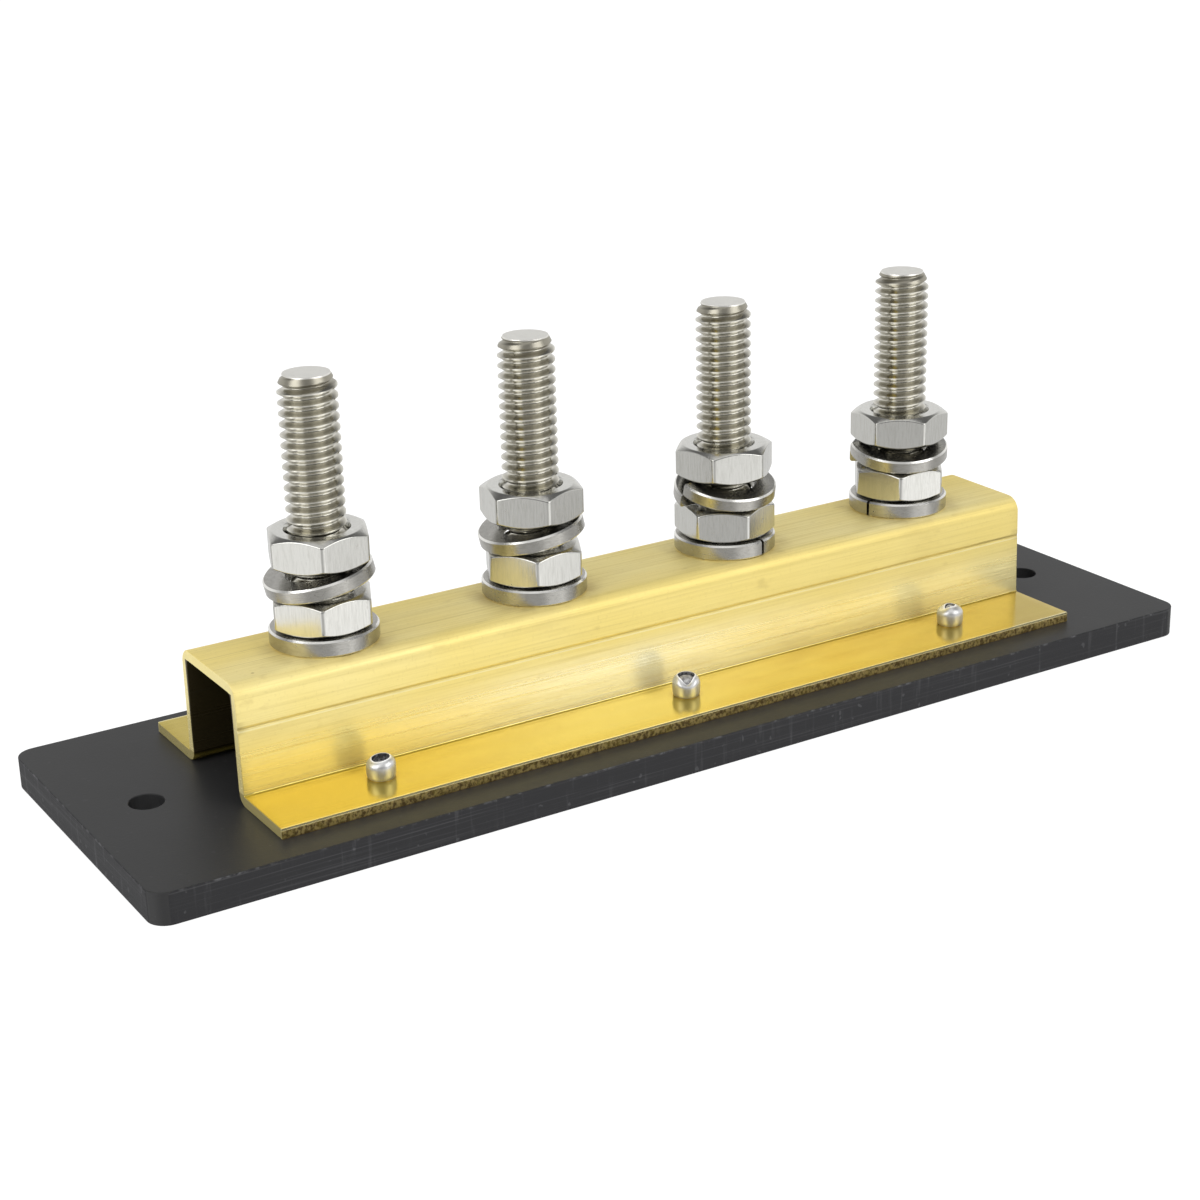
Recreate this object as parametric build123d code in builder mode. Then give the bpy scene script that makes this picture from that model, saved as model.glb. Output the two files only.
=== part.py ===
"""Bus bar: a folded brass channel that carries four threaded studs, riveted on an insulating base plate.

Millimetres, +Z up. The origin is the middle of the base plate's underside, +X runs along the bar
and -Y is the front.
"""
import os
from math import ceil, cos, pi, radians, tan

from build123d import *

os.makedirs("parts", exist_ok=True)

# Base plate, sawn from a flat sheet of dark plastic. It reaches past the channel by its margins.
base_end_margin = 18.65
base_side_margin = 5.0
base_thickness = 4.45
base_corner_radius = 2.7
mounting_hole_diameter = 4.7
mounting_hole_from_end = 9.3

# Channel, one brass sheet folded to a hat section, riveted on a little to the right of the middle
channel_offset = 0.4
channel_end_margin = 16.775
channel_height = 16.5
flange_width = 11.46
wall_lean_degrees = 1.5
sheet_thickness = 1.5
top_bend_inner_radius = 0.7
foot_bend_inner_radius = 0.3

# Studs: hexagon bolts with a full 5/16 inch thread, 18 turns to the inch
stud_count = 4
stud_pitch = 32.05
stud_length = 37.6
thread_diameter = 7.8
thread_pitch = 25.4 / 18
thread_flank_degrees = 30.0
crest_share_of_pitch = 1 / 8
thread_depth_share_of_pitch = 0.6134
tip_chamfer_depth = 0.825
tip_chamfer_length = 1.6
first_groove_below_tip = 1.8
bolt_head_height = 5.3

# What bolts, nuts and washers share
hex_across_flats = 12.7
hex_bearing_inset = 0.35
hex_chamfer_degrees = 30.0
nut_height = 4.75
nut_mouth_depth = 0.45
washer_section_width = 3.05
lower_washer_thickness = 2.25
spring_washer_thickness = 1.95
washer_slit = 0.3

# How each stack sits, from the left: which way the corners point and the washers are split
lower_nut_turns = [5.4, 4.7, 23.3, 54.4]
upper_nut_turns = [9.5, 19.0, 43.5, 22.4]
lower_split_azimuths = [100.0, 95.0, -77.6, -167.6]
upper_split_azimuths = [76.0, 74.0, 177.0, 148.0]
spring_rises = [1.6, 1.5, 2.0, 1.5]
spring_leans_degrees = [12.2, 11.7, 12.0, 9.6]
spring_high_side_from_split = 265.0

# Blind rivets, put in from below: their closed heads lie in counterbores under the plate
rivet_count = 3
rivet_inboard_of_end_stud = 0.525
rivet_from_wall = 4.56
rivet_barrel_diameter = 3.2
rivet_head_diameter = 6.35
rivet_head_height = 1.0
rivet_head_rim = 0.35
rivet_tail_swell = 0.375
rivet_foot_swell = 0.15
rivet_tail_height = 3.0
rivet_lip_radius = 0.75
mandrel_diameter = 1.8
mandrel_head_step = 0.2
mandrel_head_height = 1.0
mandrel_crown = 0.15
mandrel_head_below_lip = 0.75
mandrel_break_above_rivet_head = 0.4

# Clearances between pieces that fit in each other, on the radius or on each side
bolt_head_clearance = 0.7
stud_hole_clearance = 0.25
thread_clearance = 0.05
washer_bore_clearance = 0.35
rivet_hole_clearance = 0.05
mandrel_clearance = 0.05
counterbore_clearance = 0.4
counterbore_extra_depth = 0.3

# Sizes that follow
channel_length = (stud_count - 1) * stud_pitch + 2 * channel_end_margin
flange_top = base_thickness + sheet_thickness
web_top = base_thickness + channel_height
web_underside = web_top - sheet_thickness
top_half_width = hex_across_flats / 2 + bolt_head_clearance + sheet_thickness
foot_half_width = top_half_width + (web_top - flange_top) * tan(radians(wall_lean_degrees))
channel_half_width = foot_half_width + flange_width
rivet_row_offset = foot_half_width + rivet_from_wall
base_length = channel_length + 2 * base_end_margin
base_width = 2 * (channel_half_width + base_side_margin)
mounting_hole_spacing = base_length - 2 * mounting_hole_from_end
stud_tip = web_underside + stud_length
crest_radius = thread_diameter / 2
thread_depth = thread_depth_share_of_pitch * thread_pitch
pitch_line_radius = crest_radius - thread_depth / 2
washer_inner_radius = crest_radius + washer_bore_clearance
washer_outer_radius = washer_inner_radius + washer_section_width
washer_mean_radius = (washer_inner_radius + washer_outer_radius) / 2
hex_bearing_radius = hex_across_flats / 2 - hex_bearing_inset
hex_corner_radius = hex_across_flats / 2 / cos(radians(30))
barrel_radius = rivet_barrel_diameter / 2
rivet_head_radius = rivet_head_diameter / 2
counterbore_depth = rivet_head_height + counterbore_extra_depth
rivet_pitch = (stud_count - 1) * stud_pitch / (rivet_count - 1) - rivet_inboard_of_end_stud
mandrel_radius = mandrel_diameter / 2
mandrel_head_radius = mandrel_radius + mandrel_head_step
stud_places = [channel_offset + (n - (stud_count - 1) / 2) * stud_pitch for n in range(stud_count)]
rivet_places = [
    (channel_offset + (n - (rivet_count - 1) / 2) * rivet_pitch, side * rivet_row_offset)
    for side in (-1, 1)
    for n in range(rivet_count)
]


def upright_plane(x, y=0.0, z=0.0):
    """The plane through an upright axis that a turned profile is drawn on, as radius and height."""
    return Plane((x, y, z), x_dir=(1, 0, 0), z_dir=(0, -1, 0))


def upright_axis(x, y=0.0):
    """The upright axis through a place on the plate."""
    return Axis((x, y, 0), (0, 0, 1))


def write(piece, name):
    """Name a finished piece and write its file."""
    piece.part.label = name
    export_step(piece.part, f"parts/{name}.step")


def make_base_plate():
    """The plate, with a mounting hole at each end and counterbored holes for the rivets."""
    underside = Plane((channel_offset, 0, 0), x_dir=(1, 0, 0), z_dir=(0, 0, -1))
    with BuildPart() as base_plate:
        with BuildSketch():
            RectangleRounded(base_length, base_width, base_corner_radius)
            with GridLocations(mounting_hole_spacing, 0, 2, 1):
                Circle(mounting_hole_diameter / 2, mode=Mode.SUBTRACT)
        extrude(amount=base_thickness)
        with Locations(underside):
            with GridLocations(rivet_pitch, 2 * rivet_row_offset, rivet_count, 2):
                CounterBoreHole(
                    radius=barrel_radius + rivet_hole_clearance,
                    counter_bore_radius=rivet_head_radius + counterbore_clearance,
                    counter_bore_depth=counterbore_depth,
                )
    return base_plate


def make_bus_channel():
    """The folded sheet: web, two walls and two flanges, drilled for the studs and the rivets."""
    top_bend_outer_radius = top_bend_inner_radius + sheet_thickness
    with BuildPart() as bus_channel:
        with BuildSketch(Plane.YZ.offset(channel_offset)):
            with BuildLine():
                FilletPolyline(
                    (-channel_half_width, flange_top),
                    (-foot_half_width, flange_top),
                    (-top_half_width, web_top),
                    (top_half_width, web_top),
                    (foot_half_width, flange_top),
                    (channel_half_width, flange_top),
                    radius=[
                        foot_bend_inner_radius,
                        top_bend_outer_radius,
                        top_bend_outer_radius,
                        foot_bend_inner_radius,
                    ],
                )
                offset(amount=sheet_thickness, side=Side.RIGHT)
            make_face()
        extrude(amount=channel_length / 2, both=True)
        with Locations((channel_offset, 0, web_top)):
            with GridLocations(stud_pitch, 0, stud_count, 1):
                Hole(crest_radius + stud_hole_clearance)
        with Locations((channel_offset, 0, flange_top)):
            with GridLocations(rivet_pitch, 2 * rivet_row_offset, rivet_count, 2):
                Hole(barrel_radius + rivet_hole_clearance)
    return bus_channel


def make_hexagon(x, z, height, turn):
    """A hexagon block with both ends chamfered to a round bearing face."""
    corner_drop = (hex_corner_radius - hex_bearing_radius) * tan(radians(hex_chamfer_degrees))
    with BuildPart() as hexagon:
        with BuildSketch(Plane((x, 0, z))):
            RegularPolygon(hex_across_flats / 2, 6, major_radius=False, rotation=turn)
        extrude(amount=height)
        with BuildSketch(upright_plane(x, z=z)):
            Polygon(
                (0, 0),
                (hex_bearing_radius, 0),
                (hex_corner_radius, corner_drop),
                (hex_corner_radius, height - corner_drop),
                (hex_bearing_radius, height),
                (0, height),
                align=None,
            )
        revolve(axis=upright_axis(x), mode=Mode.INTERSECT)
    return hexagon


def make_stud_bolt(x, free_thread_start):
    """A bolt whose head lies under the web, with its thread as rings at the true pitch.

    Up to the top of the upper nut the thread is filled by the nuts' own, and both are drawn at the
    pitch line. From there to the tip it is free.
    """
    groove_count = ceil((stud_tip - free_thread_start - first_groove_below_tip) / thread_pitch)
    past_crest = thread_clearance
    flank = tan(radians(thread_flank_degrees))
    half_mouth = (1 - crest_share_of_pitch) * thread_pitch / 2
    half_root = half_mouth - thread_depth * flank
    half_cut = half_mouth + past_crest * flank
    with BuildPart() as stud_bolt:
        add(make_hexagon(x, web_underside - bolt_head_height, bolt_head_height, 0).part)
        with BuildSketch(Plane((x, 0, web_underside))):
            Circle(pitch_line_radius)
        extrude(amount=free_thread_start - web_underside)
        with BuildSketch(upright_plane(x)):
            Polygon(
                (0, free_thread_start),
                (crest_radius, free_thread_start),
                (crest_radius, stud_tip - tip_chamfer_length),
                (crest_radius - tip_chamfer_depth, stud_tip),
                (0, stud_tip),
                align=None,
            )
        revolve(axis=upright_axis(x))
        first_groove = stud_tip - first_groove_below_tip
        with BuildSketch(upright_plane(x)):
            with Locations(*[(crest_radius, first_groove - n * thread_pitch) for n in range(groove_count)]):
                Polygon(
                    (past_crest, half_cut),
                    (-thread_depth, half_root),
                    (-thread_depth, -half_root),
                    (past_crest, -half_cut),
                    align=None,
                )
        revolve(axis=upright_axis(x), mode=Mode.SUBTRACT)
    return stud_bolt


def make_nut(x, z, turn):
    """A thin hexagon nut with a countersunk mouth at each end of its bore."""
    bore_radius = pitch_line_radius + thread_clearance
    mouth_radius = crest_radius + thread_clearance
    with BuildPart() as nut:
        add(make_hexagon(x, z, nut_height, turn).part)
        with BuildSketch(upright_plane(x, z=z)):
            Polygon(
                (0, 0),
                (mouth_radius, 0),
                (bore_radius, nut_mouth_depth),
                (bore_radius, nut_height - nut_mouth_depth),
                (mouth_radius, nut_height),
                (0, nut_height),
                align=None,
            )
        revolve(axis=upright_axis(x), mode=Mode.SUBTRACT)
    return nut


def make_lower_washer(x, split_azimuth):
    """A split spring washer that its nut has pressed flat on the web."""
    with BuildPart() as lower_washer:
        with BuildSketch(Plane((x, 0, web_top))):
            Circle(washer_outer_radius)
            Circle(washer_inner_radius, mode=Mode.SUBTRACT)
            with PolarLocations(washer_mean_radius, 1, start_angle=split_azimuth):
                Rectangle(2 * washer_section_width, washer_slit, mode=Mode.SUBTRACT)
        extrude(amount=lower_washer_thickness)
    return lower_washer


def make_spring_washer(x, seat, split_azimuth, rise, lean):
    """An open split washer, one left-handed turn that leans over, set down on the seat.

    The nuts reach it only inside their round bearing faces. Gives the washer and the height that
    the upper nut comes down to.
    """
    turned = 1 - washer_slit / (2 * pi * washer_mean_radius)
    with BuildPart() as coil:
        with BuildLine() as turn:
            Helix(rise / turned, rise, washer_mean_radius, lefthand=True)
        with BuildSketch(Plane(turn.line @ 0, x_dir=(1, 0, 0), z_dir=turn.line % 0)):
            Rectangle(washer_section_width, spring_washer_thickness)
        sweep(path=turn.line, is_frenet=True)
    high_side = split_azimuth + spring_high_side_from_split
    with BuildPart() as leaning_coil:
        with Locations(Rot(Z=high_side) * Rot(Y=-lean) * Rot(Z=split_azimuth - high_side)):
            add(coil.part)
    with BuildPart() as reach:
        add(leaning_coil.part)
        Cylinder(hex_bearing_radius, 2 * washer_outer_radius, mode=Mode.INTERSECT)
    reach_box = reach.part.bounding_box()
    with BuildPart() as spring_washer:
        with Locations((x, 0, seat - reach_box.min.Z)):
            add(leaning_coil.part)
    return spring_washer, seat + reach_box.size.Z


def make_rivet(x, y):
    """A blind rivet: head below, hollow barrel, and the swollen tail that holds the flange down."""
    head_bottom = counterbore_depth - rivet_head_height
    rim_bottom = counterbore_depth - rivet_head_rim
    tail_top = flange_top + rivet_tail_height
    tail_radius = barrel_radius + rivet_tail_swell
    pocket_radius = mandrel_head_radius + mandrel_clearance
    pocket_floor = tail_top - mandrel_head_below_lip - mandrel_head_height
    bore_radius = mandrel_radius + mandrel_clearance
    with BuildPart() as rivet:
        with BuildSketch(upright_plane(x, y)):
            with BuildLine():
                Polyline(
                    (tail_radius - rivet_lip_radius, tail_top),
                    (pocket_radius, tail_top),
                    (pocket_radius, pocket_floor),
                    (bore_radius, pocket_floor),
                    (bore_radius, head_bottom),
                    (barrel_radius, head_bottom),
                )
                TangentArc((barrel_radius, head_bottom), (rivet_head_radius, rim_bottom), tangent=(1, 0))
                Polyline(
                    (rivet_head_radius, rim_bottom),
                    (rivet_head_radius, counterbore_depth),
                    (barrel_radius, counterbore_depth),
                    (barrel_radius, flange_top),
                    (barrel_radius + rivet_foot_swell, flange_top),
                )
                Spline(
                    (barrel_radius + rivet_foot_swell, flange_top),
                    (tail_radius, flange_top + rivet_tail_height / 2),
                    (tail_radius, tail_top - rivet_lip_radius),
                    tangents=[(1, 1), (0, 1)],
                )
                TangentArc(
                    (tail_radius, tail_top - rivet_lip_radius),
                    (tail_radius - rivet_lip_radius, tail_top),
                    tangent=(0, 1),
                )
            make_face()
        revolve(axis=upright_axis(x, y))
    return rivet


def make_rivet_mandrel(x, y):
    """What stays of the rivet's pulling pin: a head in the tail's crater and the stub below it."""
    head_top = flange_top + rivet_tail_height - mandrel_head_below_lip
    head_foot = head_top - mandrel_head_height
    crown_foot = head_top - mandrel_crown
    stub_end = counterbore_depth - rivet_head_height + mandrel_break_above_rivet_head
    with BuildPart() as rivet_mandrel:
        with BuildSketch(upright_plane(x, y)):
            with BuildLine():
                Polyline(
                    (0, head_top),
                    (0, stub_end),
                    (mandrel_radius, stub_end),
                    (mandrel_radius, head_foot),
                    (mandrel_head_radius, head_foot),
                    (mandrel_head_radius, crown_foot),
                )
                TangentArc((0, head_top), (mandrel_head_radius, crown_foot), tangent=(1, 0))
            make_face()
        revolve(axis=upright_axis(x, y))
    return rivet_mandrel


write(make_base_plate(), "base_plate")
write(make_bus_channel(), "bus_channel")

for n, stud_x in enumerate(stud_places):
    lower_nut_seat = web_top + lower_washer_thickness
    spring_washer, upper_nut_seat = make_spring_washer(
        stud_x,
        lower_nut_seat + nut_height,
        upper_split_azimuths[n],
        spring_rises[n],
        spring_leans_degrees[n],
    )
    write(make_stud_bolt(stud_x, upper_nut_seat + nut_height), f"stud_bolt_{n + 1}")
    write(make_lower_washer(stud_x, lower_split_azimuths[n]), f"lower_washer_{n + 1}")
    write(make_nut(stud_x, lower_nut_seat, lower_nut_turns[n]), f"lower_nut_{n + 1}")
    write(spring_washer, f"spring_washer_{n + 1}")
    write(make_nut(stud_x, upper_nut_seat, upper_nut_turns[n]), f"upper_nut_{n + 1}")

for n, (rivet_x, rivet_y) in enumerate(rivet_places):
    write(make_rivet(rivet_x, rivet_y), f"rivet_{n + 1}")
    write(make_rivet_mandrel(rivet_x, rivet_y), f"rivet_mandrel_{n + 1}")
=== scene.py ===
"""Bus bar: a folded brass channel with four threaded studs, riveted on a dark base plate.

Every piece stands in the row's own frame, in metres: +X along the bar, -Y the front, +Z up. Places and
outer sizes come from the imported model, and the shapes here only add what is finer than the solids.
"""
import logging
import math
from dataclasses import dataclass
from enum import Enum
from typing import Any, Callable, ClassVar, Mapping, Optional, Sequence, Union

import bmesh
import bpy
from mathutils import Matrix, Vector, noise


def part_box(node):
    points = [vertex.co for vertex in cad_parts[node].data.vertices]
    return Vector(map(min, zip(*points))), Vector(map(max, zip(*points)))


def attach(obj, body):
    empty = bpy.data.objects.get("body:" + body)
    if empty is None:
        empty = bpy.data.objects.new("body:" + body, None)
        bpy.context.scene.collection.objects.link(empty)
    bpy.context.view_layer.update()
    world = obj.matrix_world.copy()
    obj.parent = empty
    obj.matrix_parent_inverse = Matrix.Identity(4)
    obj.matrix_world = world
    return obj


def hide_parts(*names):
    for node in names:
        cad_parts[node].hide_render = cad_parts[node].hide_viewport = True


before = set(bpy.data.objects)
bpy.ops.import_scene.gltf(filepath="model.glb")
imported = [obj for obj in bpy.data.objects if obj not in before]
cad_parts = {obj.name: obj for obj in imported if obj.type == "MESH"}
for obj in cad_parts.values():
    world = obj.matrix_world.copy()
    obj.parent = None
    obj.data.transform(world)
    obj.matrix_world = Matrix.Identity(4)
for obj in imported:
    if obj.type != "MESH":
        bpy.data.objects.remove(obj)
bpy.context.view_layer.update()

MM = 0.001
# Thickness of the brass, and how near points are that count as one
SHEET = 1.5 * MM
DOUBLES = 1e-7
LOG = logging.getLogger("bus_bar")

Triple = tuple[float, float, float]
Colour = Triple
Number = Union[float, "Value"]
Inputs = Mapping[Union[str, int], Any]
Ring = list[Vector]
Row = Callable[[float], tuple[float, float]]


class Slot(Enum):
    """The record's material slots."""

    BASE = "base_plastic"
    BRASS = "brass"
    STAINLESS = "stainless"
    RIVET = "rivet_aluminium"
    MANDREL = "mandrel_steel"


# Node trees


class Value:
    """A number that a node puts out. Python's operators on it add Math nodes."""

    def __init__(self, nodes: "Nodes", socket: bpy.types.NodeSocket) -> None:
        """Wrap an output.

        Args:
            nodes: The tree that the output is in.
            socket: The output itself.
        """
        self.nodes = nodes
        self.socket = socket

    def __add__(self, other: Number) -> "Value":
        """Sum."""
        return self.nodes.math("ADD", self, other)

    def __radd__(self, other: Number) -> "Value":
        """Sum with a plain number first."""
        return self.nodes.math("ADD", other, self)

    def __sub__(self, other: Number) -> "Value":
        """Difference."""
        return self.nodes.math("SUBTRACT", self, other)

    def __rsub__(self, other: Number) -> "Value":
        """Difference with a plain number first."""
        return self.nodes.math("SUBTRACT", other, self)

    def __mul__(self, other: Number) -> "Value":
        """Product."""
        return self.nodes.math("MULTIPLY", self, other)

    def __rmul__(self, other: Number) -> "Value":
        """Product with a plain number first."""
        return self.nodes.math("MULTIPLY", other, self)

    def __truediv__(self, other: Number) -> "Value":
        """Quotient."""
        return self.nodes.math("DIVIDE", self, other)

    def __rtruediv__(self, other: Number) -> "Value":
        """Quotient with a plain number first."""
        return self.nodes.math("DIVIDE", other, self)

    def __pow__(self, other: Number) -> "Value":
        """Power."""
        return self.nodes.math("POWER", self, other)

    def __neg__(self) -> "Value":
        """The number with its sign turned."""
        return self.nodes.math("MULTIPLY", self, -1.0)

    def __abs__(self) -> "Value":
        """The number without its sign."""
        return self.nodes.math("ABSOLUTE", self)


class Nodes:
    """Builds a shader or geometry tree: any node from one method, and arithmetic on what it puts out."""

    def __init__(self, tree: bpy.types.NodeTree) -> None:
        """Start on a tree, without the nodes that it comes with.

        Args:
            tree: The tree that gets the nodes.
        """
        self.tree = tree
        self.tree.nodes.clear()

    def feed(self, socket: bpy.types.NodeSocket, value: Any) -> None:
        """Link or set one input.

        Args:
            socket: The input.
            value: A Value, an output to link, or a plain setting.
        """
        if isinstance(value, Value):
            value = value.socket
        if isinstance(value, bpy.types.NodeSocket):
            self.tree.links.new(value, socket)
        else:
            socket.default_value = value

    def add(self, kind: str, inputs: Optional[Inputs] = None, **settings: Any) -> bpy.types.Node:
        """Add a node of any kind.

        Args:
            kind: The node's type.
            inputs: Values or links by input name or number.
            settings: Its properties, set first.

        Returns:
            The node.
        """
        node = self.tree.nodes.new(kind)
        for name, setting in settings.items():
            setattr(node, name, setting)
        for name, value in (inputs or {}).items():
            self.feed(node.inputs[name], value)
        return node

    def value(
        self, kind: str, inputs: Optional[Inputs] = None, output: Union[str, int] = 0, **settings: Any
    ) -> Value:
        """Add a node and wrap one of its outputs.

        Args:
            kind: The node's type.
            inputs: Values or links by input name or number.
            output: The output's name or number.
            settings: Its properties.

        Returns:
            The wrapped output.
        """
        return Value(self, self.add(kind, inputs, **settings).outputs[output])

    def read(self, node: bpy.types.Node, *names: Union[str, int]) -> list[Value]:
        """Wrap several outputs of a node."""
        return [Value(self, node.outputs[name]) for name in names]

    def math(self, operation: str, *operands: Number, clamp: bool = False) -> Value:
        """Add a Math node.

        Args:
            operation: What it works out.
            operands: Its inputs in order.
            clamp: Whether the result is kept between 0 and 1.

        Returns:
            The result.
        """
        inputs = dict(enumerate(operands))
        return self.value("ShaderNodeMath", inputs, operation=operation, use_clamp=clamp)

    def smooth(self, value: Number, low: float, high: float) -> Value:
        """A soft step.

        Args:
            value: What is tested.
            low: Where the step starts, at 0.
            high: Where it ends, at 1. It may be under low, for a step that falls.

        Returns:
            The step, from 0 to 1.
        """
        inputs = {"Value": value, "From Min": min(low, high), "From Max": max(low, high)}
        if high < low:
            inputs.update({"To Min": 1.0, "To Max": 0.0})
        return self.value("ShaderNodeMapRange", inputs, interpolation_type="SMOOTHSTEP")


class Surface(Nodes):
    """The node tree of one material, read in Object coordinates, with one Principled shader."""

    def __init__(self, name: str) -> None:
        """Start an empty material.

        Args:
            name: The material's name.
        """
        self.material = bpy.data.materials.new(name)
        self.material.use_nodes = True
        super().__init__(self.material.node_tree)
        self.place = self.add("ShaderNodeTexCoord").outputs["Object"]
        self.x, self.y, self.z = self.read(self.add("ShaderNodeSeparateXYZ", {0: self.place}), 0, 1, 2)

    def mark(self, name: str) -> Value:
        """A number that the mesh carries under a name."""
        return self.value("ShaderNodeAttribute", output=2, attribute_name=name)

    def cloud(
        self,
        scale: float,
        detail: float,
        roughness: float,
        stretch: Optional[Triple] = None,
        turn: Triple = (0.0, 0.0, 0.0),
    ) -> Value:
        """Soft noise.

        Args:
            scale: Cells for each metre.
            detail: How many finer layers lie on it.
            roughness: How strong those are.
            stretch: How much finer it gets along x, y and z, the same if not given.
            turn: Its turn in radians before it is stretched.

        Returns:
            The noise, about 0.5.
        """
        place = self.place
        if stretch:
            mapping = {"Vector": place, "Scale": stretch, "Rotation": turn}
            place = self.add("ShaderNodeMapping", mapping).outputs[0]
        inputs = {"Vector": place, "Scale": scale, "Detail": detail, "Roughness": roughness}
        return self.value("ShaderNodeTexNoise", inputs)

    def blend(self, factor: Number, first: Any, second: Any) -> bpy.types.NodeSocket:
        """Mix two colours.

        Args:
            factor: Share of the second.
            first: A colour or an output.
            second: A colour or an output.

        Returns:
            The mixed colour.
        """
        colours = [(*c, 1.0) if isinstance(c, tuple) else c for c in (first, second)]
        inputs = {0: factor, 6: colours[0], 7: colours[1]}
        return self.add("ShaderNodeMix", inputs, data_type="RGBA", clamp_factor=True).outputs[2]

    def between(self, value: Number, low: float, high: float, soft: float) -> Value:
        """A band.

        Args:
            value: What is tested.
            low: Where the band starts.
            high: Where it ends.
            soft: How wide its soft edges are.

        Returns:
            1 inside the band and 0 outside.
        """
        return self.smooth(value, low - soft, low + soft) * self.smooth(value, high + soft, high - soft)

    def ring(self, centre: tuple[float, float]) -> Value:
        """Distance from an upright axis.

        Args:
            centre: The axis's x and y.

        Returns:
            The distance.
        """
        along = self.x - centre[0]
        across = self.y - centre[1]
        return (along * along + across * across) ** 0.5

    def largest(self, values: Sequence[Value]) -> Value:
        """The largest of several values, place by place.

        Args:
            values: The values.

        Returns:
            The largest.
        """
        result = values[0]
        for value in values[1:]:
            result = self.math("MAXIMUM", result, value)
        return result

    def bump(self, layers: Sequence[tuple[Value, float]]) -> bpy.types.NodeSocket:
        """Relief from several heights.

        Args:
            layers: Pairs of a height from 0 to 1 and the real depth of that height in metres.

        Returns:
            The normal.
        """
        normal = None
        for height, depth in layers:
            inputs = {"Height": height, "Distance": depth, "Strength": 1.0}
            if normal is not None:
                inputs["Normal"] = normal
            normal = self.add("ShaderNodeBump", inputs).outputs[0]
        return normal

    def finish(self, **inputs: Any) -> bpy.types.Material:
        """Close the tree with its shader.

        Args:
            inputs: The shader's inputs, with underscores for spaces.

        Returns:
            The material.
        """
        shader = self.add("ShaderNodeBsdfPrincipled")
        for name, value in inputs.items():
            self.feed(shader.inputs[name.replace("_", " ")], value)
        self.add("ShaderNodeOutputMaterial", {"Surface": shader.outputs[0]})
        return self.material


# Finishes


@dataclass(frozen=True)
class PlateFinish:
    """Charcoal plastic sheet: a smooth satin face, sawn sides with fine lines and pale nicks."""

    half_length: float
    half_width: float
    top: float
    face: Colour = (0.0215, 0.0215, 0.022)
    side: Colour = (0.0135, 0.0135, 0.0155)
    hazy: Colour = (0.029, 0.029, 0.030)
    dust: Colour = (0.20, 0.20, 0.21)
    rim: float = 0.05 * MM

    def material(self) -> bpy.types.Material:
        """Make the plate's material.

        Returns:
            The material.
        """
        s = Surface("charcoal_plastic")
        reaches = ((s.x, self.half_length), (s.y, self.half_width))
        sides = s.largest([s.smooth(abs(axis), end - 2 * self.rim, end - self.rim) for axis, end in reaches])
        saw = s.cloud(260.0, 4.0, 0.65, (0.12, 0.12, 14.0))
        cross = s.cloud(300.0, 3.0, 0.6, (3.0, 3.0, 0.25))
        grit = s.cloud(2600.0, 2.0, 0.6)
        nicks = s.smooth(s.cloud(900.0, 1.0, 0.4), 0.70, 0.76)
        haze = s.cloud(30.0, 3.0, 0.6)
        scuff = s.smooth(s.cloud(420.0, 5.0, 0.7, (1.0, 0.25, 1.0)), 0.66, 0.80)
        lines = sides * (s.smooth(saw, 0.50, 0.75) * 0.15 + s.smooth(cross, 0.55, 0.80) * 0.18)
        arris = s.between(s.z, self.top - 0.25 * MM, self.top + MM, 0.12 * MM) * sides
        worn = arris * s.smooth(s.cloud(700.0, 3.0, 0.6), 0.50, 0.70) * 0.35
        pale = s.math("ADD", lines + worn, nicks * (sides * 0.12 + 0.05) + scuff * 0.05, clamp=True)
        plain = s.blend(sides, self.face, self.side)
        tone = s.blend(haze * 0.35, plain, self.hazy)
        rough = 0.42 + haze * 0.10 + sides * 0.16 + pale * 0.15
        relief = s.bump([(grit, 0.012 * MM), (saw * sides, 0.05 * MM), (cross * sides, 0.02 * MM)])
        return s.finish(
            Base_Color=s.blend(pale, tone, self.dust),
            Roughness=rough,
            Normal=relief,
            Specular_IOR_Level=0.36,
        )


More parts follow.
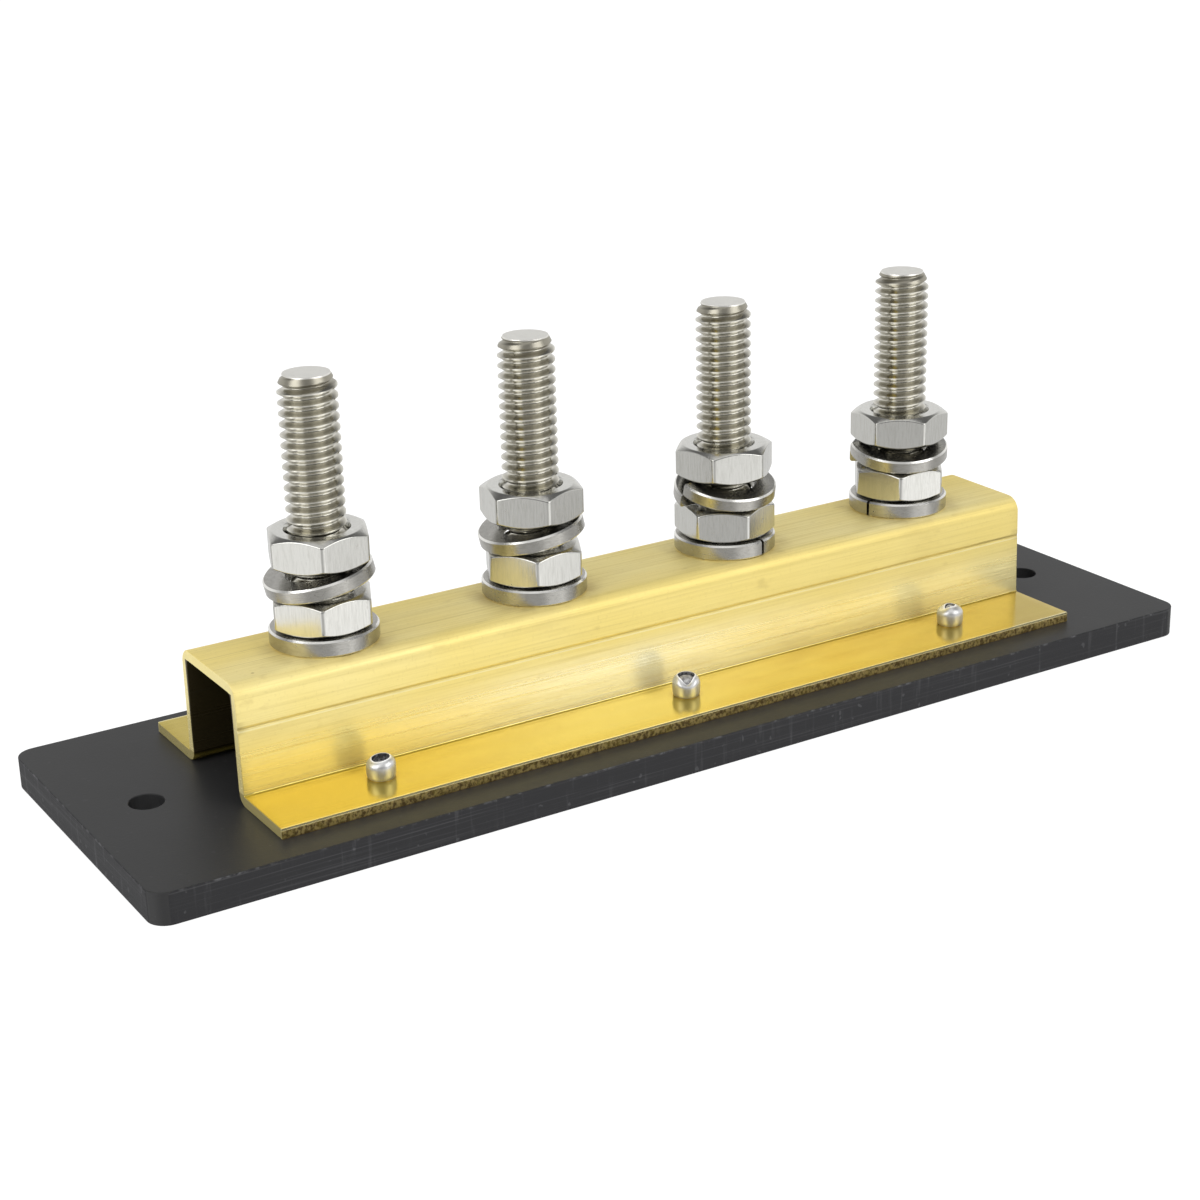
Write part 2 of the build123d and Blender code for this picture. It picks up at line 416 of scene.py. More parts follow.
@dataclass(frozen=True)
class BrassFinish:
    """Rolled brass: lengthwise grain, a polished flange and a dull sheared edge, with painted light and
    shade: shade round the washers, in the crease and corners and inside, lighter and darker patches on the
    wall, and pale lines under the crease and along the cut edge.
    """

    ends: tuple[float, float]
    front: float
    web: float
    flange: float
    foot: float
    crease: float
    studs: tuple[float, ...]
    rivets: tuple[tuple[float, float], ...]
    washer_radius: float
    metal: Colour = (0.90, 0.73, 0.23)
    pale: Colour = (0.97, 0.86, 0.44)
    # Colour of the painted shade on the upper wall.
    painted_shade_tone: Colour = (0.60, 0.46, 0.14)
    # Colour of the painted highlight on the low wall.
    painted_glow: Colour = (1.0, 0.96, 0.70)
    scored: Colour = (0.64, 0.50, 0.15)
    polished: Colour = (0.55, 0.425, 0.062)
    handled: Colour = (0.47, 0.33, 0.04)
    smudged: Colour = (0.52, 0.39, 0.12)
    speckled: Colour = (0.48, 0.36, 0.12)
    # Colour of the real freckles and drawn lines, and of the painted shade.
    tarnish_and_shade: Colour = (0.42, 0.29, 0.09)
    # Pale colour of the painted highlights, under the crease and along the top of the cut edge.
    lip: Colour = (0.98, 0.90, 0.55)
    sheared: Colour = (0.60, 0.46, 0.18)
    # Dark speckle of the cut edge, and painted shade at its foot.
    dark_cut_and_shade: Colour = (0.15, 0.10, 0.04)
    # Near black, painted as shade on the channel's inner faces.
    painted_tunnel_shade: Colour = (0.03, 0.022, 0.01)

    def material(self) -> bpy.types.Material:
        """Make the channel's material.

        Returns:
            The material.
        """
        s = Surface("rolled_brass")
        m = BrassMarks(s, self)
        rough = 0.30 + m.grain * 0.06 - m.low_wall * 0.08 - m.flange * 0.10 + m.web * 0.16
        rough = rough + m.cut * 0.3 + m.dark * 0.10 + m.streaks * 0.04 + m.bend * 0.16
        layers = [
            (m.drift, 0.10 * MM),
            (m.grain, 0.012 * MM),
            (m.hair * (1.0 - m.flange), 0.022 * MM),
            (m.coarse, 0.02 * MM),
            (m.torn * m.cut, 0.05 * MM),
        ]
        return s.finish(
            Base_Color=self.tone(s, m),
            Metallic=0.58 + m.flange * 0.26 - m.ends * 0.2,
            Roughness=s.math("MAXIMUM", rough, 0.12),
            Normal=s.bump(layers),
        )

    def tone(self, s: Surface, m: "BrassMarks") -> bpy.types.NodeSocket:
        """The colour, laid on in coats from the plain metal to the dark cut edges, with painted light and
        shade among the coats.

        Args:
            s: The surface that is coloured.
            m: Where its marks lie.

        Returns:
            The colour.
        """
        cut = s.blend(s.smooth(m.speckle, 0.40, 0.60), self.dark_cut_and_shade, self.sheared)
        coats = [
            # Painted shade: the upper wall darker, with less pale drift, towards +x.
            (s.smooth(m.drift, 0.30, 0.70) * (1.0 - m.fade * 0.75), self.pale),
            (m.fade * 0.22, self.painted_shade_tone),
            # Painted highlight on the low wall.
            (m.painted_glow * 0.8, self.painted_glow),
            (s.smooth(m.grain, 0.40, 0.75) * 0.24, self.scored),
            (m.flange * 0.94, self.polished),
            (m.handled, self.handled),
            (m.streaks * 0.20 + (1.0 - m.flange) * m.smudges * 0.20, self.smudged),
            (s.smooth(m.speckle, 0.55, 0.75) * 0.16, self.speckled),
            # Real stains and painted shade, in one darker coat.
            (s.math("MINIMUM", m.dark, 0.8), self.tarnish_and_shade),
            # Painted highlight under the crease.
            (m.painted_crease_highlight * 0.5, self.lip),
            (m.cut, cut),
            # Painted highlight along the top of the cut edge, and painted shade along its foot by the plate.
            (m.edge * s.smooth(s.z, self.flange - 0.38 * MM, self.flange - 0.28 * MM) * 0.7, self.lip),
            (m.edge * s.smooth(s.z, self.flange - 1.32 * MM, self.flange - 1.44 * MM) * 0.7, self.dark_cut_and_shade),
            (m.ends * 0.55, self.pale),
            # Painted shade inside the channel.
            (m.inside * 0.97, self.painted_tunnel_shade),
        ]
        tone = self.metal
        for share, colour in coats:
            tone = s.blend(share, tone, colour)
        return tone


class BrassMarks:
    """Where each mark of the brass lies, painted light and shade among them, as values from 0 to 1."""

    def __init__(self, s: Surface, at: BrassFinish) -> None:
        """Lay the marks out.

        Args:
            s: The surface that carries them.
            at: The places that they keep to.
        """
        self.grain = s.cloud(1500.0, 4.0, 0.62, (0.03, 1.6, 1.6))
        self.hair = s.cloud(5200.0, 2.0, 0.6, (0.02, 1.0, 1.0))
        self.coarse = s.cloud(260.0, 3.0, 0.6, (0.05, 1.0, 1.0))
        self.drift = s.cloud(42.0, 3.0, 0.55, (0.45, 1.0, 1.0))
        self.torn = s.cloud(900.0, 3.0, 0.65, (1.0, 1.0, 0.6))
        self.speckle = s.cloud(2300.0, 3.0, 0.7, (1.0, 1.0, 0.8))
        self.smudges = s.smooth(s.cloud(95.0, 4.0, 0.62, (0.4, 1.0, 1.0)), 0.50, 0.72)
        self.streaks = s.smooth(s.cloud(2600.0, 3.0, 0.6, (0.012, 1.2, 1.2)), 0.50, 0.72)
        self.web = s.smooth(s.z, at.web - 0.9 * MM, at.web - 0.2 * MM)
        self.flange = s.smooth(s.z, at.flange + 0.25 * MM, at.flange + 0.05 * MM)
        self.low_wall = s.smooth(s.z, at.crease, at.flange + 4.0 * MM)
        self.bend = s.between(s.z, at.web - 1.9 * MM, at.web - 0.1 * MM, 0.3 * MM)
        # Painted highlight: a pale line just under the crease.
        self.painted_crease_highlight = s.between(s.z, at.crease - 0.42 * MM, at.crease - 0.24 * MM, 0.09 * MM)
        # Painted shade: the upper wall darker towards +x.
        self.fade = s.smooth(s.x, -60.0 * MM, 50.0 * MM) * (1.0 - self.low_wall) * (1.0 - self.web)
        # Painted highlight: a pale glow on the low wall near the middle of the bar.
        self.painted_glow = s.between(s.x, -30.0 * MM, 12.0 * MM, 22.0 * MM) * self.low_wall * (1.0 - self.flange)
        self.handled = self.flange * (self.smudges * 0.45 + s.smooth(s.x, -20.0 * MM, 70.0 * MM) * 0.50)
        starts = ((at.ends[0], 1), (at.ends[1], -1))
        self.ends = s.largest([s.smooth(s.x, x + 0.05 * MM * way, x + 0.02 * MM * way) for x, way in starts])
        self.edge = s.smooth(abs(s.y), at.front - 0.32 * MM, at.front - 0.26 * MM)
        shear = self.edge * s.smooth(s.z, at.flange - 0.26 * MM, at.flange - 0.38 * MM)
        self.cut = shear * (s.smooth(self.torn, 0.30, 0.55) * 0.25 + 0.70)
        # Painted shade: the channel's inner faces, under the web and inside the walls.
        inside = s.smooth(s.z, at.web - 1.40 * MM, at.web - 1.48 * MM)
        self.inside = inside * s.smooth(abs(s.y), at.foot - 1.30 * MM, at.foot - 1.50 * MM)
        self.dark = self.stains_and_shade(s, at)

    def stains_and_shade(self, s: Surface, at: BrassFinish) -> Value:
        """All that darkens the metal: real freckles and drawn lines, and painted shade in the crease, at the
        wall's foot, round the washers and round the rivets.

        Args:
            s: The surface that carries them.
            at: The places that they keep to.

        Returns:
            The strength of the stains and of the painted shade.
        """
        # Painted shade: a dark line along the die crease, broken up by noise.
        crease = s.between(s.z, at.crease - 0.06 * MM, at.crease + 0.06 * MM, 0.07 * MM)
        crease = crease * (s.smooth(self.coarse, 0.30, 0.60) * 0.6 + 0.4)
        # Painted shade in the corner where the wall meets the flange.
        corner = s.between(s.z, at.flange + 0.25 * MM, at.flange + 0.7 * MM, 0.2 * MM)
        corner = corner * s.smooth(abs(s.y), at.foot + 0.6 * MM, at.foot + 0.3 * MM)
        freckles = s.smooth(s.cloud(520.0, 2.0, 0.5, (0.5, 1.0, 1.0)), 0.66, 0.80)
        # Painted shade on the web round the washers, broken up by noise.
        washers = s.largest([s.smooth(s.ring((x, 0.0)), 10.5 * MM, at.washer_radius) for x in at.studs])
        painted_shade_round_washers = self.web * washers * s.smooth(s.cloud(150.0, 3.0, 0.6), 0.35, 0.75)
        # Painted shade on the flange round each rivet's foot.
        rivets = s.largest([s.smooth(s.ring(r), 2.7 * MM, 1.9 * MM) for r in at.rivets]) * self.flange
        lines = self.web_lines(s, at) * self.web
        return lines * 0.55 + crease * 0.60 + corner * 0.12 + freckles * 0.20 + painted_shade_round_washers * 0.45 + rivets * 0.4

    def web_lines(self, s: Surface, at: BrassFinish) -> Value:
        """The two thin drawn lines along the web, the one between the first two studs, and a speck.

        Args:
            s: The surface that they lie on.
            at: The places that they keep to.

        Returns:
            The lines' strength.
        """
        reach = at.studs[0] + 3.0 * MM
        left = s.smooth(s.x, reach, reach - MM)
        middle = s.between(s.x, at.studs[0] + 6.0 * MM, at.studs[1] - 5.0 * MM, 3.0 * MM)
        half = 0.04 * MM
        lines = [
            s.between(s.y, y * MM - half, y * MM + half, 0.06 * MM) * length
            for y, length in ((2.12, left), (-2.05, left), (-2.95, middle * 0.6))
        ]
        speck = s.smooth(s.ring((at.ends[0] + 3.9 * MM, -5.7 * MM)), 0.30 * MM, 0.12 * MM)
        return s.largest([*lines, speck])


@dataclass(frozen=True)
class SteelFinish:
    """Bright stainless hardware: fine turned or drawn marks and a few nicks, with painted shade in the
    thread's flanks and on the tip's chamfer, and a painted highlight on the washers' bevels.
    """

    name: str
    metal: Colour = (0.66, 0.655, 0.62)
    # Colour of the worn marks, and of the painted shade in the flanks and on the chamfer.
    shade: Colour = (0.47, 0.46, 0.42)
    # Pale colour of the sawn tip, and of the painted highlight on the washers' bevels.
    sawn: Colour = (0.92, 0.91, 0.87)
    roughness: float = 0.13
    grain: Triple = (1.0, 1.0, 1.0)
    grain_depth: float = 0.010
    marks: float = 0.4
    matt_above: float = 1.0

    def material(self) -> bpy.types.Material:
        """Make the hardware's material.

        Returns:
            The material.
        """
        s = Surface(self.name)
        fine = s.cloud(1500.0, 4.0, 0.6, self.grain)
        broad = s.cloud(190.0, 3.0, 0.6)
        pits = s.smooth(s.cloud(1300.0, 2.0, 0.5), 0.68, 0.78)
        scratch = s.smooth(s.cloud(800.0, 2.0, 0.5, (3.0, 0.3, 1.2), (0.5, 0.2, 0.6)), 0.66, 0.74)
        marks = s.smooth(fine, 0.40, 0.75) * self.marks
        worn = s.math("ADD", marks, pits * 0.35 + scratch * 0.18, clamp=True)
        matt = s.smooth(s.z, self.matt_above, self.matt_above + 0.1 * MM)
        # Painted highlight on the washers' bevels, in the sawn tip's pale colour.
        bevel = s.mark(SplitCoil.BEVEL)
        bright = s.largest([matt * 0.8, bevel * 0.85])
        # Painted shade: the chamfer under the sawn tip darker and rougher, to damp its highlight.
        turned = s.smooth(s.z, self.matt_above - 1.4 * MM, self.matt_above - 1.2 * MM) * (1.0 - matt)
        # Painted shade down the thread's flanks, darkest halfway to the root.
        flank = s.mark(RolledThread.FLANK_SHADE)
        # Real wear, and painted shade in the flanks and on the chamfer.
        dull = s.largest([worn, turned * 0.75, flank * 0.58])
        return s.finish(
            Base_Color=s.blend(bright, s.blend(dull, self.metal, self.shade), self.sawn),
            Metallic=1.0,
            Roughness=self.roughness + fine * 0.08 + broad * 0.06 + pits * 0.1 + matt * 0.22 + turned * 0.16,
            Normal=s.bump([(broad, 0.02 * MM), (fine, self.grain_depth * MM)]),
        )


@dataclass(frozen=True)
class RivetFinish:
    """Satin aluminium of the rivets, with a soft drawn bloom, a painted highlight round each crater's rim and
    painted shade inside it.
    """

    metal: Colour = (0.78, 0.78, 0.775)
    bloom: Colour = (0.52, 0.52, 0.525)
    # Colour of the painted highlight on the crater's rim.
    rim: Colour = (1.0, 1.0, 1.0)
    # Lighter colour of the painted shade inside the crater.
    painted_crater_shade: Colour = (0.36, 0.36, 0.37)
    shadow: Colour = (0.12, 0.12, 0.13)

    def material(self) -> bpy.types.Material:
        """Make the rivets' material.

        Returns:
            The material.
        """
        s = Surface("satin_aluminium")
        drawn = s.cloud(1400.0, 3.0, 0.6, (1.0, 1.0, 0.25))
        dents = s.cloud(600.0, 2.0, 0.5)
        mouth = s.mark(Rivet.MOUTH)
        tone = s.blend(s.smooth(drawn, 0.45, 0.75) * 0.4, self.metal, self.bloom)
        # Painted highlight: a white line round the crater's rim.
        rim = s.math("MAXIMUM", -mouth, 0.0)
        tone = s.blend(rim, tone, self.rim)
        # Painted shade inside the crater, mottled.
        painted_crater_shade = s.blend(s.smooth(s.cloud(2600.0, 3.0, 0.6), 0.42, 0.58), self.shadow, self.painted_crater_shade)
        return s.finish(
            Base_Color=s.blend(s.math("MAXIMUM", mouth, 0.0), tone, painted_crater_shade),
            Metallic=0.90 - rim * 0.75,
            Roughness=0.31 + drawn * 0.14,
            Normal=s.bump([(dents, 0.04 * MM), (drawn, 0.012 * MM)]),
        )


@dataclass(frozen=True)
class MandrelFinish:
    """Dull plated steel of the broken pins."""

    metal: Colour = (0.46, 0.46, 0.46)
    torn: Colour = (0.09, 0.09, 0.10)

    def material(self) -> bpy.types.Material:
        """Make the pins' material.

        Returns:
            The material.
        """
        s = Surface("plated_steel")
        torn = s.cloud(2400.0, 4.0, 0.65)
        return s.finish(
            Base_Color=s.blend(s.smooth(torn, 0.36, 0.60) * 0.75, self.metal, self.torn),
            Metallic=0.2,
            Roughness=0.42 + torn * 0.15,
            Normal=s.bump([(torn, 0.05 * MM)]),
        )


# Meshes


def middle(low: Vector, high: Vector) -> Vector:
    """The middle of a box."""
    return (Vector(low) + Vector(high)) / 2


def new_object(name: str, mesh: bpy.types.Mesh) -> bpy.types.Object:
    """Put a mesh in the scene as an object at the origin.

    Args:
        name: The object's name.
        mesh: Its mesh.

    Returns:
        The object.
    """
    thing = bpy.data.objects.new(name, mesh)
    bpy.context.scene.collection.objects.link(thing)
    return thing


def mesh_of(name: str, points: Sequence[Vector], faces: Sequence[Sequence[int]]) -> bpy.types.Mesh:
    """A closed mesh whose faces point outwards.

    Args:
        name: The mesh's name.
        points: Its corners.
        faces: Corner numbers of each face.

    Returns:
        The mesh.
    """
    mesh = bpy.data.meshes.new(name)
    mesh.from_pydata([tuple(p) for p in points], [], faces)
    tidy(mesh)
    return mesh


def tidy(mesh: bpy.types.Mesh, flat_degrees: float = 0.0) -> None:
    """Merge doubles and turn the faces outwards.

    Args:
        mesh: What is tidied.
        flat_degrees: Faces that meet at less than this become one, if it is over 0.
    """
    work = bmesh.new()
    work.from_mesh(mesh)
    bmesh.ops.remove_doubles(work, verts=work.verts, dist=DOUBLES)
    if flat_degrees:
        bmesh.ops.dissolve_limit(
            work, angle_limit=math.radians(flat_degrees), verts=work.verts, edges=work.edges
        )
    bmesh.ops.recalc_face_normals(work, faces=work.faces)
    work.to_mesh(mesh)
    work.free()


def skin(rings: Sequence[Ring], loop: bool) -> tuple[list[Vector], list[list[int]]]:
    """Points and faces over a row of rings that have the same number of points.

    Args:
        rings: The rings in order.
        loop: Whether the last ring joins the first. If not, both ends are capped.

    Returns:
        The points, and the point numbers of each face.
    """
    count = len(rings[0])
    faces: list[list[int]] = []
    for row in range(len(rings) if loop else len(rings) - 1):
        here = row * count
        there = ((row + 1) % len(rings)) * count
        for i in range(count):
            j = (i + 1) % count
            faces.append([here + i, here + j, there + j, there + i])
    if not loop:
        faces.append(list(range(count))[::-1])
        faces.append([(len(rings) - 1) * count + i for i in range(count)])
    return [p for ring in rings for p in ring], faces


def polar_rings(centre: Vector, rows: Sequence[Row], angles: Union[int, Sequence[float]]) -> list[Ring]:
    """Rings round an upright axis.

    Args:
        centre: A point on the axis, from which heights are counted.
        rows: For each ring, what gives its radius and height at an angle in radians.
        angles: Angle of each point, or how many evenly spaced points there are.

    Returns:
        The rings.
    """
    if isinstance(angles, int):
        angles = [math.tau * i / angles for i in range(angles)]
    rings = []
    for row in rows:
        ring = []
        for angle in angles:
            radius, height = row(angle)
            ring.append(centre + Vector((radius * math.cos(angle), radius * math.sin(angle), height)))
        rings.append(ring)
    return rings


def steady(radius: float, height: float) -> Row:
    """A ring that is the same all round."""
    return lambda angle: (radius, height)


def frozen(thing: bpy.types.Object) -> bpy.types.Object:
    """Apply what modifiers an object has, as a plain mesh.

    Args:
        thing: The object.

    Returns:
        The same object.
    """
    graph = bpy.context.evaluated_depsgraph_get()
    mesh = bpy.data.meshes.new_from_object(thing.evaluated_get(graph))
    thing.modifiers.clear()
    thing.data = mesh
    return thing


def polished(
    thing: bpy.types.Object,
    width: float,
    steps: int = 2,
    angle_degrees: float = 24.0,
    crisp_degrees: float = 48.0,
) -> bpy.types.Object:
    """Round an object's arrises and shade it smooth with its flats kept flat.

    Args:
        thing: The object.
        width: Width of the rounding, none if 0.
        steps: Faces across it.
        angle_degrees: Edges that turn more than this are arrises.
        crisp_degrees: Edges that turn more than this stay sharp in the shading.

    Returns:
        The same object, as a plain mesh.
    """
    if width:
        bevel = thing.modifiers.new("arris", "BEVEL")
        bevel.width = width
        bevel.segments = steps
        bevel.limit_method = "ANGLE"
        bevel.angle_limit = math.radians(angle_degrees)
        bevel.use_clamp_overlap = True
        frozen(thing)
    work = bmesh.new()
    work.from_mesh(thing.data)
    crisp = math.radians(crisp_degrees)
    for face in work.faces:
        face.smooth = True
    for edge in work.edges:
        edge.smooth = len(edge.link_faces) == 2 and edge.calc_face_angle(0.0) < crisp
    work.to_mesh(thing.data)
    work.free()
    weighted = thing.modifiers.new("flats", "WEIGHTED_NORMAL")
    weighted.keep_sharp = True
    return frozen(thing)


def hand_over(thing: bpy.types.Object, node: str, slot: Slot, material: bpy.types.Material) -> None:
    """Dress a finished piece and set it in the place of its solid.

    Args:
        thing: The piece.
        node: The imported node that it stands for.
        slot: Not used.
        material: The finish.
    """
    thing.data.materials.clear()
    thing.data.materials.append(material)
    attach(thing, "root")
    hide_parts(node)
    LOG.info("%s: %d faces for %s", thing.name, len(thing.data.polygons), node)


# Geometry node trees


class GeometryTree(Nodes):
    """A geometry tree with named inputs, run once to make a plain mesh."""

    def __init__(self, name: str, lengths: Sequence[str], counts: Sequence[str] = ()) -> None:
        """Start a tree.

        Args:
            name: The tree's name.
            lengths: Names of the inputs that are plain numbers.
            counts: Names of the inputs that are whole numbers.
        """
        super().__init__(bpy.data.node_groups.new(name, "GeometryNodeTree"))
        kinds = {"Float": lengths, "Int": counts, "Material": ["Material"]}
        inputs = {label: f"NodeSocket{kind}" for kind, labels in kinds.items() for label in labels}
        self.sockets = {
            label: self.tree.interface.new_socket(label, in_out="INPUT", socket_type=kind)
            for label, kind in inputs.items()
        }
        self.tree.interface.new_socket("Geometry", in_out="OUTPUT", socket_type="NodeSocketGeometry")
        group = self.add("NodeGroupInput")
        self.given = {label: Value(self, group.outputs[label]) for label in inputs}

    def close(self, geometry: bpy.types.NodeSocket) -> None:
        """End the tree.

        Args:
            geometry: What it makes, before its instances are made real and its material is set.
        """
        real = self.add("GeometryNodeRealizeInstances", {"Geometry": geometry}).outputs[0]
        inputs = {"Geometry": real, "Material": self.given["Material"]}
        dressed = self.add("GeometryNodeSetMaterial", inputs)
        self.add("NodeGroupOutput", {"Geometry": dressed.outputs[0]})

    def make(self, name: str, settings: Mapping[str, Any]) -> bpy.types.Object:
        """Run the tree.

        Args:
            name: The new object's name.
            settings: A value for each named input.

        Returns:
            The object, as a plain mesh.
        """
        thing = new_object(name, bpy.data.meshes.new(name))
        modifier = thing.modifiers.new(self.tree.name, "NODES")
        modifier.node_group = self.tree
        for label, setting in settings.items():
            modifier[self.sockets[label].identifier] = setting
        return frozen(thing)


class RolledThread(GeometryTree):
    """A strip that is one pitch wide, wound up an upright axis so that its two sides meet."""

    ACROSS = 16
    ROUND = 72
    ROOT = 0.42
    ROOT_ROUNDING = 0.45
    # Name of the mark for painted shade down the thread's flanks.
    FLANK_SHADE = "flank"

    def __init__(self) -> None:
        """Build the tree."""
        bolt = ("Crest Radius", "Depth", "Pitch", "Foot", "Tip", "Tip Radius", "Tip Slope")
        super().__init__("rolled_thread", (*bolt, "Turns", "Start"), ["Rows"])
        g = self.given
        points = {"Vertices X": self.ACROSS + 1, "Vertices Y": g["Rows"]}
        grid = self.add("GeometryNodeMeshGrid", {"Size X": 1.0, "Size Y": 1.0, **points})
        place = self.add("GeometryNodeInputPosition").outputs[0]
        x, y = self.read(self.add("ShaderNodeSeparateXYZ", {0: place}), 0, 1)
        across = x + 0.5
        turn = (y + 0.5) * g["Turns"]
        from_crest = self.math("MINIMUM", across, 1.0 - across)
        crest_edge = 1.0 / self.ACROSS
        flank = self.math("MAXIMUM", (from_crest - crest_edge) / (self.ROOT - crest_edge), 0.0)
        sunk = self.math("SMOOTH_MIN", flank, 1.0, self.ROOT_ROUNDING)
        height = g["Foot"] + g["Pitch"] * (across + turn)
        wound = g["Crest Radius"] - g["Depth"] * sunk
        cone = g["Tip Radius"] + (g["Tip"] - height) * g["Tip Slope"]
        radius = self.math("MINIMUM", wound, cone)
        angle = (turn + g["Start"]) * math.tau
        spot = {0: radius * self.math("COSINE", angle), 1: radius * self.math("SINE", angle), 2: height}
        spot = self.add("ShaderNodeCombineXYZ", spot).outputs[0]
        moved = self.add("GeometryNodeSetPosition", {"Geometry": grid.outputs[0], "Position": spot})
        merged = self.add("GeometryNodeMergeByDistance", {"Geometry": moved.outputs[0], "Distance": DOUBLES})
        self.close(merged.outputs[0])


class SplitCoil(GeometryTree):
    """A split washer: a flat bar wound once round an upright axis, rising as it goes."""

    # Marks the washers' bevel faces, which get a painted highlight.
    BEVEL = "bevel"
    BEVEL_SLOPES = (0.4, 0.9)
    ROUND = 120

    def __init__(self) -> None:
        """Build the tree."""
        super().__init__("split_coil", ("Mean Radius", "Rise", "Turn", "Width", "Thickness", "Rounding"))
        g = self.given
        radii = {"Start Radius": g["Mean Radius"], "End Radius": g["Mean Radius"]}
        spiral = {"Resolution": self.ROUND, "Rotations": g["Turn"], "Height": g["Rise"], "Reverse": False}
        path = self.add("GeometryNodeCurveSpiral", {**radii, **spiral}).outputs[0]
        upright = self.add("GeometryNodeSetCurveNormal", {"Curve": path}, mode="Z_UP").outputs[0]
        sides = {"Width": g["Width"], "Height": g["Thickness"]}
        bar = self.add("GeometryNodeCurvePrimitiveQuadrilateral", sides).outputs[0]
        chamfer = {"Curve": bar, "Radius": g["Rounding"], "Count": 1}
        eased = self.add("GeometryNodeFilletCurve", chamfer, mode="POLY").outputs[0]
        swept = {"Curve": upright, "Profile Curve": eased, "Fill Caps": True}
        self.close(self.add("GeometryNodeCurveToMesh", swept).outputs[0])

    def make(self, name: str, settings: Mapping[str, Any]) -> bpy.types.Object:
        """Run the tree and mark the bar's bevels, where the finish paints a highlight.

        Args:
            name: The new object's name.
            settings: A value for each named input.

        Returns:
            The object, as a plain mesh.
        """
        washer = super().make(name, settings)
        bevel = washer.data.attributes.new(self.BEVEL, "FLOAT", "FACE")
        for face, value in zip(washer.data.polygons, bevel.data):
            value.value = float(self.BEVEL_SLOPES[0] < abs(face.normal.z) < self.BEVEL_SLOPES[1])
        return washer


# Sub-assemblies


@dataclass
class BasePlate:
    """The sawn plastic plate."""

    finish: PlateFinish
    arris: float = 0.16 * MM

    def build(self) -> None:
        """Copy the plate's solid and round its arrises."""
        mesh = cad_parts["base_plate"].data.copy()
        tidy(mesh, flat_degrees=1.0)
        plate = polished(new_object("sawn_base_plate", mesh), self.arris)
        hand_over(plate, "base_plate", Slot.BASE, self.finish.material())


